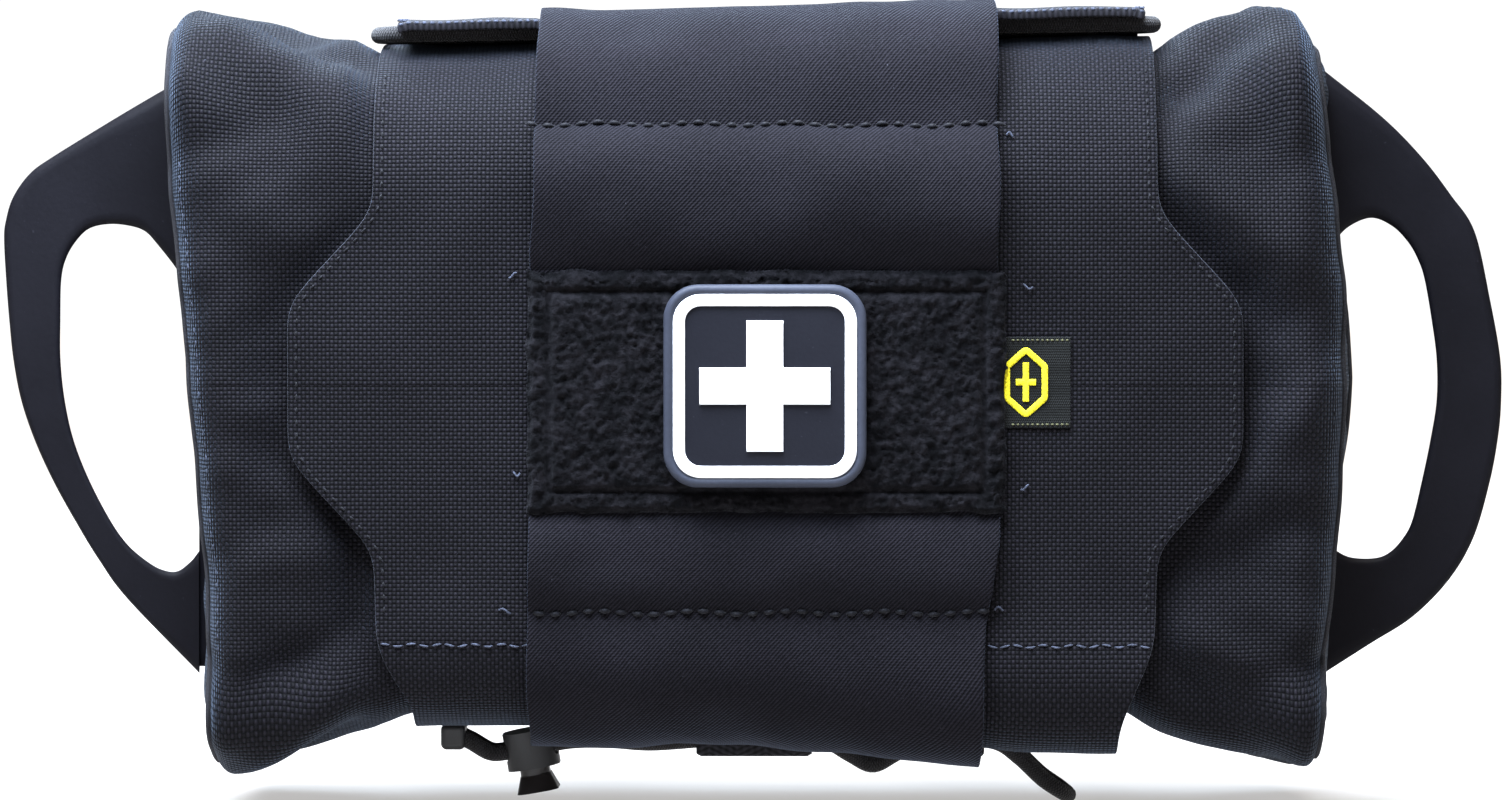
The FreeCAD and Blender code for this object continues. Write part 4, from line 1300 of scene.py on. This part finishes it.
class Patch(bpy.types.Operator):
    """The moulded rubber patch with its raised border and cross"""

    bl_idname = "pouch.patch"
    bl_label = "Patch"

    def execute(self, context):
        front, rear = PATCH_LOW[1], PATCH_HIGH[1]
        half, corner = PATCH_HIGH[0], 6.6
        rings = [
            (0.0, rear), (0.0, front + 1.1), (0.12, front + 0.45), (0.45, front + 0.08), (0.95, front - 0.1),
            (1.45, front - 0.05),
        ]
        rings += [(1.75, front + 0.25), (2.2, front + 0.42), (4.0, front + 0.42)]
        # The outer plate takes the rim finish, whose lighter grey is a painted highlight on the bevel.
        self.plate(
            "patch_body", half, corner, rings, "patch_rim", close_front=False, replaces=["patch_base"],
            slot="patch_rubber",
        )
        self.plate(
            "patch_field", half - 2.0, corner - 1.9,
            [(0.0, front + 1.0), (0.0, front + 0.40), (0.3, front + 0.36), (6.0, front + 0.36)],
            "patch_rubber",
        )
        self.border(front)
        self.cross(front)
        FINISH_CAD["patch_hook_backing"] = "hook_tape"
        return {"FINISHED"}

    def plate(self, name, half, corner, rings, finish, close_front=True, replaces=(), slot="patch_rubber"):
        """A rounded square whose edge follows (inset, y) steps from the rear to the front."""
        loops = []
        for inset, y in rings:
            size, r = half - inset, max(0.8, corner - inset)
            square = [(-size, -size), (size, -size), (size, size), (-size, size)]
            path = even(
                np.concatenate([rounded_path(square, [r] * 4, 0.2), rounded_path(square, [r] * 4, 0.2)[:1]]),
                count=161,
            )[:-1]
            loops.append(np.stack([path[:, 0], np.full(len(path), y), path[:, 1]], 1))
        middle = np.array([0, rings[-1][1], 0])
        for share in (0.8, 0.55, 0.3, 0.08):
            loops.append(middle + (loops[len(rings) - 1] - middle) * share)
        points = np.stack(loops)
        piece = grid_mesh(name, points, front_map(points), ring=True)
        fill_holes(piece)
        return finished(piece, finish, "patch", replaces=list(replaces))

    def border(self, front):
        """The white raised border: a closed ring with soft shoulders."""
        outer, inner = RING_HIGH[0], RING_HIGH[0] - 2.3
        steps = [
            (outer, 5.3, 0.5), (outer - 0.05, 5.25, -0.25), (outer - 0.35, 4.95, -0.55),
            (inner + 0.35, 3.35, -0.55), (inner + 0.05, 3.05, -0.25), (inner, 3.0, 0.5),
        ]
        loops = []
        for half, corner, lift in steps:
            square = [(-half, -half), (half, -half), (half, half), (-half, half)]
            path = rounded_path(square, [corner] * 4, 0.2)
            path = even(np.concatenate([path, path[:1]]), count=161)[:-1]
            loops.append(np.stack([path[:, 0], np.full(len(path), front + 0.2 + lift * 0.8), path[:, 1]], 1))
        points = np.stack(loops)
        piece = grid_mesh("patch_ring", points, front_map(points), ring=True)
        finished(piece, "patch_white", "patch", replaces=["patch_border"])

    def cross(self, front):
        """The white raised cross with soft shoulders."""
        long, arm = CROSS_HIGH[0], 3.5
        loops = []
        for inset, lift in ((0.0, 0.5), (0.04, -0.25), (0.3, -0.55), (0.9, -0.58)):
            a, b = arm - inset, long - inset
            corners = [
                (-a, -b), (a, -b), (a, -a), (b, -a), (b, a), (a, a), (a, b), (-a, b), (-a, a), (-b, a),
                (-b, -a), (-a, -a),
            ]
            radii = [0.35, 0.35, 0.2] * 4
            sides = [even(np.array([corners[k], corners[(k + 1) % 12]]), count=13)[:-1] for k in range(12)]
            loops.append(np.concatenate(sides))
            loops[-1] = np.stack(
                [loops[-1][:, 0], np.full(len(loops[-1]), front + 0.2 + lift * 0.8), loops[-1][:, 1]], 1,
            )
        points = np.stack(loops)
        piece = grid_mesh("patch_plus", points, front_map(points), ring=True)
        fill_holes(piece)
        finished(piece, "patch_white", "patch", replaces=["patch_cross"])


def fill_holes(piece):
    """Closes the open loops of a piece with flat faces that point outwards."""
    shape = bmesh.new()
    shape.from_mesh(piece.data)
    bmesh.ops.holes_fill(shape, edges=shape.edges, sides=0)
    bmesh.ops.recalc_face_normals(shape, faces=shape.faces)
    shape.to_mesh(piece.data)
    shape.free()


# ---------------------------------------------------------------- webbing, cords and hardware


def strip_mesh(name, path, across_from, across_to, thickness, bulge=0.0):
    """Flat webbing along a line in the YZ plane, between two x values, with soft edges."""
    path = np.asarray(path, float)
    run = np.gradient(path, axis=0)
    run /= np.linalg.norm(run, axis=1)[:, None]
    outward = np.stack([run[:, 1], -run[:, 0]], 1)
    t = np.linspace(0, 1, 26)
    ring = []
    for w, face in [(w, 1) for w in t] + [(w, -1) for w in t[::-1]]:
        near = np.minimum(w, 1 - w) * abs(across_to - across_from)
        depth = thickness / 2 * math.sqrt(max(0.05, 1 - (1 - min(1, near / 0.6)) ** 2)) * face
        yz = path + outward * (depth + bulge * math.sin(math.pi * w))
        x = np.full(len(path), across_from + (across_to - across_from) * w)
        ring.append(np.stack([x, yz[:, 0], yz[:, 1]], 1))
    points = np.stack(ring, 1)
    along = lengths(path)
    uv = np.stack(np.broadcast_arrays(along[:, None], points[..., 0]), -1)
    uv = np.concatenate([uv, uv[:, :1]], 1)
    piece = grid_mesh(name, points, uv, ring=True)
    fill_holes(piece)
    return piece


def top_strip(name, x0, x1, height, y_front=-63.5, y_back=-35.5):
    """Webbing strip laid along the top over the cord, with a raised front edge and sewn ends."""
    x = np.linspace(x0, x1, 60)[:, None]
    t = np.linspace(0, 1, 40)[None]
    y = y_front + (y_back - y_front) * t
    base = SLEEVE_HALF + slope(x, 95.0 + 0 * t)
    z = base + height - 0.5 * (1 - smooth(t, 0, 0.10)) - (height - 1.2) * smooth(t, 0.80, 0.97)
    z = z + 0.22 * ripple(x, y, 20.0, 91) - 0.5 * (1 - smooth(np.minimum(x - x0, x1 - x), 0, 2.5))
    y = y - 0.5 * ripple(x, 0 * t, 40.0, 92)
    points = np.stack(np.broadcast_arrays(x, y, z), -1)
    uv = np.stack(np.broadcast_arrays(x, y), -1)
    piece = grid_mesh(name, points, uv)
    thickened(piece, 1.7, soft_edge=0.3)
    finished(piece, "webbing", "carrier", replaces=[name])
    return points


class Webbing(bpy.types.Operator):
    """The top and bottom webbing strips and their stitches"""

    bl_idname = "pouch.webbing"
    bl_label = "Webbing strips"

    def execute(self, context):
        for side, x0, x1, height in (("left", -71.0, -42.0, 4.6), ("right", 42.0, 73.2, 5.2)):
            points = top_strip(f"top_tunnel_{side}", x0, x1, height)
            front = points[:, 1]
            path = front + [0, -0.35, -0.3]
            stitches(
                f"strip_stitches_{side}", path, np.array([0, -1.0, 0.25]), 1.5, 0.32, share=0.8,
                finish="pale_thread",
            )
            column = points[2 if side == "left" else -3, 2:34]
            zigzag = (
                column
                + np.stack([0.9 * (-1.0) ** np.arange(32), 0 * column[:, 1], 0.06 + 0 * column[:, 2]], 1)
            )
            stitches(f"bartack_{side}", zigzag, UP, 1.1, HEAVY_THREAD, share=0.95, finish="pale_thread")
        for node in ("bottom_tunnel_centre", "bottom_tunnel_right"):
            self.under(node)
        return {"FINISHED"}

    def under(self, node):
        """A webbing strip sewn under the sleeve, round the cord."""
        low, high = edges(node)
        base, deep = -SLEEVE_HALF, low[2]
        corners = [
            (low[1], base - 0.5), (low[1] + 3.4, base - 1.2), (low[1] + 5.4, deep + 0.7),
            (high[1] - 8, deep + 0.7), (high[1] - 4.6, base - 1.4), (high[1], base - 0.6),
        ]
        path = rounded_path(corners, [0, 1.5, 2, 2, 1.5, 0], 0.7, closed=False)
        piece = strip_mesh(node, path, low[0], high[0], 1.3)
        finished(piece, "webbing", "carrier", replaces=[node])


def cord_route(side):
    """Points of one run of the lower cord, from its end cap to the drooping bend."""
    middle, pitch, lock = -47.0, 6.5, 2.7
    run = middle + side * pitch
    tight = middle + side * lock
    return [
        (-60.5, tight, -69.2), (-57.6, tight, -70.6), (-54.0, tight, -72.6), (
            -51.0, tight, -72.58,
        ), (-46.0, tight, -71.7),
        (-38.0, tight, -70.29), (
            -30.0, tight + side * 1.5, -70.1,
        ), (-22.0, run - side * 0.6, -70.4), (-9.0, run, -69.5), (5.0, run, -69.5),
        (11.5, run, -69.9), (16.5, run, -72.6), (20.8, run, -74.6), (25.0, run, -72.6), (29.5, run, -70.0),
        (38.0, run, -69.5), (45.0, run, -70.2), (49.5, run, -73.2), (54.0, run - side * 0.5, -77.4),
    ]


class Cords(bpy.types.Operator):
    """The two shock cords"""

    bl_idname = "pouch.cords"
    bl_label = "Shock cords"

    def execute(self, context):
        radius = (CORD_HIGH[2] - CORD_LOW[2]) / 2
        self.upper(radius)
        self.lower(radius)
        return {"FINISHED"}

    def upper(self, radius):
        """A flat loop through both top strips."""
        y0, y1 = CORD_LOW[1] + radius, CORD_HIGH[1] - radius
        x0, x1 = CORD_LOW[0] + radius, CORD_HIGH[0] - radius
        r = (y1 - y0) / 2
        path = rounded_path([(x0, y0), (x1, y0), (x1, y1), (x0, y1)], [r - 0.01] * 4, 1.0)
        z = SLEEVE_HALF + radius + 0.35 + slope(path[:, 0], 95.0)
        points = np.stack([path[:, 0], path[:, 1], z], 1)
        piece = tube_mesh("top_shock_cord", points, radius, around=14, closed=True)
        finished(piece, "shock_cord", "carrier", replaces=["top_shock_cord"])

    def lower(self, radius):
        """Both runs and the bend between them, as one line."""
        front, back = cord_route(-1), cord_route(1)
        bend = [(57.6, -51.4, -79.9), (59.2, -47.0, -81.0), (57.6, -42.6, -79.9)]
        points = spline(front + bend + back[::-1], 420)
        piece = tube_mesh("bottom_shock_cord", points, radius, around=14)
        finished(piece, "shock_cord", "carrier", replaces=["bottom_shock_cord"])


# Middle of the cord lock and its tilt along the cord.
LOCK_PLACE, LOCK_TILT = np.array([-46.0, -47.0, -71.7]), math.radians(10.0)


def on_lock(points):
    """Points of the cord lock's own frame, put in its place on the cord."""
    x, y, z = np.asarray(points, float).T
    cos, sin = math.cos(LOCK_TILT), math.sin(LOCK_TILT)
    return np.stack([cos * x - sin * z, y, sin * x + cos * z], -1) + LOCK_PLACE


class CordLock(bpy.types.Operator):
    """The cord lock's spring"""

    bl_idname = "pouch.cord_lock"
    bl_label = "Cord lock spring"

    def execute(self, context):
        low, high, coil, wire = 1.13, 2.43, 0.6, 0.18
        turn = np.linspace(0, 2 * math.pi * (high - low) / 0.7, 90)
        helix = np.stack([coil * np.cos(turn), coil * np.sin(turn), np.linspace(low, high, 90)], 1)
        piece = tube_mesh("lock_spring", on_lock(helix), wire, around=8)
        finished(piece, "spring_wire", "cord_lock", replaces=["cord_lock_spring"])
        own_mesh(piece)
        return {"FINISHED"}


# CAD nodes that take another finish than their slot's.
FINISH_CAD = {}


class BackPanel(bpy.types.Operator):
    """The rear panel with its webbing slots, edge stitches and belt straps"""

    bl_idname = "pouch.back_panel"
    bl_label = "Back panel and straps"

    def execute(self, context):
        sizes = context.scene.pouch_sizes
        self.panel(sizes)
        for side in ("left", "right"):
            self.strap(side, sizes)
            self.snap_cap(side)
        return {"FINISHED"}

    def panel(self, sizes):
        """Laser-cut sheet: a grid that leaves out the slots."""
        low, high = PANEL_LOW, PANEL_HIGH
        pitch, slot_long, slot_high, rows = 37.25, 28.0, 2.6, (-37.0, 0.0, 37.0)
        cuts_x = [(c - 1.5) * pitch + k * slot_long / 2 for c in range(4) for k in (-1, 1)]
        cuts_z = [row + k * slot_high / 2 for row in rows for k in (-1, 1)]
        x = np.unique(np.round(np.concatenate([np.linspace(low[0], high[0], 76), cuts_x]), 3))
        z = np.unique(np.round(np.concatenate([np.linspace(low[2], high[2], 64), cuts_z]), 3))
        gx, gz = np.meshgrid(x, z, indexing="ij")
        edge = np.minimum(np.minimum(gx - x[0], x[-1] - gx), np.minimum(gz - z[0], z[-1] - gz))
        lift = (
            -0.15 + 0.18 * ripple(gx, gz, 30.0, 101) * smooth(edge, 0, 8)
            - 0.25 * np.exp(-(((edge - 4) / 0.8) ** 2))
        )
        lift -= 0.3 * (1 - smooth(edge, 0, 1.5))
        corner = np.hypot(
            np.clip(np.abs(gx) - (x[-1] - 8), 0, None), np.clip(np.abs(gz) - (z[-1] - 8), 0, None),
        )
        pull = np.clip(corner - 8, 0, None) / np.maximum(corner, 1e-6)
        gx = gx - np.sign(gx) * pull * np.clip(np.abs(gx) - (x[-1] - 8), 0, None)
        gz = gz - np.sign(gz) * pull * np.clip(np.abs(gz) - (z[-1] - 8), 0, None)
        i, j = np.meshgrid(np.arange(len(x) - 1), np.arange(len(z) - 1), indexing="ij")
        mid_x, mid_z = (x[i] + x[i + 1]) / 2, (z[j] + z[j + 1]) / 2
        in_row = np.any([np.abs(mid_z - row) < slot_high / 2 for row in rows], axis=0)
        in_column = np.any([np.abs(mid_x - (c - 1.5) * pitch) < slot_long / 2 for c in range(4)], axis=0)
        keep = ~(in_row & in_column)
        i, j, m = i[keep], j[keep], len(z)
        faces = np.stack([i * m + j, i * m + j + 1, (i + 1) * m + j + 1, (i + 1) * m + j], -1)
        flat = np.stack([gx, gz], -1).reshape(-1, 2)
        points = np.stack([gx, lift, gz], -1).reshape(-1, 3)
        piece = raw_mesh("back_panel", points, faces, flat[faces].reshape(-1, 2))
        thickened(piece, 1.4)
        finished(piece, "laminate_cloth", "carrier", replaces=["back_panel"])
        square = [(-70.5, -58.5), (70.5, -58.5), (70.5, 58.5), (-70.5, 58.5)]
        path = rounded_path(square, [5] * 4, 1.0)
        path = np.stack([path[:, 0], np.full(len(path), -0.05), path[:, 1]], 1)
        stitches(
            "panel_stitches", path, REAR, sizes.stitch / MM, HEAVY_THREAD, share=0.7, finish="dark_thread",
        )

    def snap_cap(self, side):
        """Pressed metal cap: rolled edge, shallow step and a low crown."""
        low, high = edges(f"snap_cap_{side}")
        centre_x, centre_z = (low[0] + high[0]) / 2, (low[2] + high[2]) / 2
        r, base, top = (high[0] - low[0]) / 2, low[1], high[1]
        profile = [
            (r - 1.6, base), (r - 0.25, base), (r, base + 0.3), (r - 0.05, base + 0.6),
            (r - 0.45, base + 0.85), (r - 1.3, base + 0.95),
        ]
        profile += [
            (r - 1.55, base + 0.85), (r - 1.9, base + 0.9), (r - 2.4, top - 0.35), (r - 3.6, top - 0.1),
            (1.2, top), (0.3, top),
        ]
        profile = spline(profile, 60)
        turn = np.linspace(0, 2 * math.pi, 73)[:-1]
        ring = [
            np.stack([centre_x + a * np.cos(turn), np.full(72, y), centre_z + a * np.sin(turn)], 1)
            for a, y in profile
        ]
        points = np.stack(ring)
        piece = grid_mesh(f"snap_cap_{side}", points, front_map(points), ring=True)
        fill_holes(piece)
        finished(piece, "snap_metal", f"strap_{side}", replaces=[f"snap_cap_{side}"])

    def strap(self, side, sizes):
        """Sewn anchor and the moving strap with its stitches."""
        low, high = edges(f"belt_strap_{side}")
        x0, x1 = low[0], high[0]
        top, bottom, thick = high[2], low[2], 1.5
        shelf, out = 3.2 + thick / 2, high[1] - thick / 2
        corners = [(0.9, top), (0.95, top - 1.4), (out, 31.7), (out, -31.7), (shelf, -39.6), (shelf, bottom)]
        path = rounded_path(corners, [0, 1.5, 4.5, 4.5, 2.5, 0], 0.9, closed=False)[::-1]
        strap = strip_mesh(f"belt_strap_{side}", path, x0, x1, thick, bulge=0.12)
        finished(strap, "webbing", f"strap_{side}", replaces=[f"belt_strap_{side}"])
        low, high = edges(f"strap_anchor_{side}")
        path = even(np.array([(0.78, low[2]), (0.78, high[2])]), 0.9)
        anchor = strip_mesh(f"strap_anchor_{side}", path, x0, x1, thick)
        finished(anchor, "webbing", "carrier", replaces=[f"strap_anchor_{side}"])
        a, b, c, d = x0 + 3, x1 - 3, low[2] + 2.5, high[2] - 2.5
        box = rounded_path([(a, c), (b, c), (b, d), (a, d)], [0.1] * 4, 0.8)
        lines = [box, even(np.array([(a, c), (b, d)]), 0.8), even(np.array([(a, d), (b, c)]), 0.8)]
        for k, line in enumerate(lines):
            path = np.stack([line[:, 0], np.full(len(line), 1.52), line[:, 1]], 1)
            stitches(f"anchor_stitches_{side}_{k + 1}", path, REAR, sizes.stitch / MM, HEAVY_THREAD)
        level = shelf + thick / 2
        ends = [
            np.array([(x0 + 2, level, bottom + inset), (x1 - 2, level, bottom + inset)])
            for inset in (1.6, 3.4)
        ]
        for k, line in enumerate(ends):
            stitches(
                f"strap_end_stitches_{side}_{k + 1}", even(line, 0.8), REAR, sizes.stitch / MM, HEAVY_THREAD,
                body=f"strap_{side}",
            )


class CadFinishes(bpy.types.Operator):
    """Materials of the CAD pieces that stay"""

    bl_idname = "pouch.cad_finishes"
    bl_label = "Hardware and contents"

    def execute(self, context):
        slots = {part["node"]: part["material_slot"] for part in frame["record"]["subparts"]}
        for node, piece in frame["nodes"].items():
            finish = FINISH_CAD.get(node, slots[node])
            piece.data.materials.clear()
            piece.data.materials.append(FINISHES[finish])
        return {"FINISHED"}


# ---------------------------------------------------------------- stage


class Stage(bpy.types.Operator):
    """Pale floor, soft lights and the camera"""

    bl_idname = "pouch.stage"
    bl_label = "Stage"

    def execute(self, context):
        self.floor()
        self.world(context.scene)
        self.sun((-0.1, -0.15, 1.0), 8.0, 40.0, (1.0, 0.97, 0.96))
        self.light("window", (-0.25, 0.75, 1.0), (0.0, -0.04, 0.02), 0.9, 38.0, (0.66, 0.82, 1.0))
        self.light("overhead", (-0.08, -0.20, 0.36), (0.0, -0.07, 0.03), 0.36, 15.0, (0.70, 0.82, 1.0))
        self.camera(context.scene)
        return {"FINISHED"}

    def floor(self):
        """Softly glowing white table just under the lowest piece."""
        level = CAD_BOX[0][2] / MM - 0.4
        size = 6000.0
        points = np.array(
            [[-size, -size, level], [size, -size, level], [size, size, level], [-size, size, level]]
        )
        floor = raw_mesh("floor", points, np.array([[0, 1, 2, 3]]))
        finish = Finish(
            "pale_floor", specular_ior_level=0.1, emission_color=(1.0, 0.98, 0.97, 1.0), emission_strength=0.5
        )
        vector, *_ = finish.place()
        finish.feed(
            "Base Color", finish.mix(finish.noise(vector, 6.0), (0.24, 0.225, 0.21), (0.26, 0.245, 0.23)),
        )
        finish.feed("Roughness", 0.85 + finish.noise(vector, 40.0) * 0.1)
        floor.data.materials.append(finish.material)

    def world(self, scene):
        """White behind everything, and much dimmer as a light."""
        world = bpy.data.worlds.new("studio")
        world.use_nodes = True
        nodes, links = world.node_tree.nodes, world.node_tree.links
        background = nodes["Background"]
        background.inputs[0].default_value = (1.0, 1.0, 1.0, 1.0)
        path, strength = nodes.new("ShaderNodeLightPath"), nodes.new("ShaderNodeMapRange")
        strength.inputs["To Min"].default_value = 0.20
        strength.inputs["To Max"].default_value = 1.1
        links.new(path.outputs["Is Camera Ray"], strength.inputs["Value"])
        links.new(strength.outputs[0], background.inputs[1])
        scene.world = world
        scene.view_settings.view_transform = "Standard"

    def sun(self, direction, strength, spread, tint):
        """A broad soft light from far away, so that the floor is evenly bright."""
        lamp = bpy.data.lights.new("sky", "SUN")
        lamp.energy, lamp.angle, lamp.color = strength, math.radians(spread), tint
        holder = bpy.data.objects.new("sky", lamp)
        holder.rotation_euler = bpy_direction(-np.array(direction))
        bpy.context.scene.collection.objects.link(holder)

    def light(self, name, place, target, size, power, tint):
        """Round area lamp that the camera does not see."""
        lamp = bpy.data.lights.new(name, "AREA")
        lamp.shape, lamp.size, lamp.energy, lamp.color = "DISK", size, power, tint
        holder = bpy.data.objects.new(name, lamp)
        holder.location = place
        aim = np.array(target) - np.array(place)
        holder.rotation_euler = bpy_direction(aim)
        holder.visible_camera = False
        bpy.context.scene.collection.objects.link(holder)

    def camera(self, scene):
        """Seen from the front, a little from the right and above."""
        azimuth, elevation, distance = math.radians(0.4), math.radians(1.6), 1.1
        target = np.array([-0.0022, SLEEVE_LOW[1] * MM, -0.0028])
        back = np.array(
            [
                math.sin(azimuth) * math.cos(elevation), -math.cos(azimuth) * math.cos(elevation),
                math.sin(elevation),
            ]
        )
        data = bpy.data.cameras.new("camera")
        data.sensor_width = 36.0
        data.lens = 36.0 * distance / 0.2863
        holder = bpy.data.objects.new("camera", data)
        holder.location = target + back * distance
        holder.rotation_euler = bpy_direction(-back)
        data.clip_start, data.clip_end = 0.05, 30.0
        scene.collection.objects.link(holder)
        scene.camera = holder


def bpy_direction(direction):
    """Rotation that points a lamp or camera along a direction, level with the floor."""
    return Vector([float(k) for k in direction]).to_track_quat("-Z", "Y").to_euler()


class PouchPanel(bpy.types.Panel):
    """The pouch's pieces and sizes"""

    bl_idname = "POUCH_PT_pieces"
    bl_label = "First aid pouch"
    bl_space_type = "VIEW_3D"
    bl_region_type = "UI"
    bl_category = "Pouch"

    def draw(self, context):
        for group in (context.scene.pouch_sizes, context.scene.pouch_colours):
            for name in group.__annotations__:
                self.layout.prop(group, name)
        for piece in PIECES:
            self.layout.operator(piece.bl_idname)


PIECES = (
    RollBody, Sleeve, ElasticBand, LoopField, Label, Handles, Patch, Webbing, Cords, CordLock, BackPanel,
    CadFinishes, Stage,
)
CLASSES = (PouchSizes, PouchColours, *PIECES, PouchPanel)


def register():
    """Adds the pouch to Blender."""
    for cls in CLASSES:
        bpy.utils.register_class(cls)
    bpy.types.Scene.pouch_sizes = PointerProperty(type=PouchSizes)
    bpy.types.Scene.pouch_colours = PointerProperty(type=PouchColours)


def unregister():
    """Takes it away again."""
    del bpy.types.Scene.pouch_colours
    del bpy.types.Scene.pouch_sizes
    for cls in reversed(CLASSES):
        bpy.utils.unregister_class(cls)


def main():
    """Makes every piece."""
    register()
    scene = bpy.context.scene
    make_finishes(scene.pouch_sizes, scene.pouch_colours)
    for piece in PIECES:
        category, name = piece.bl_idname.split(".")
        getattr(getattr(bpy.ops, category), name)()


if __name__ == "__main__":
    main()
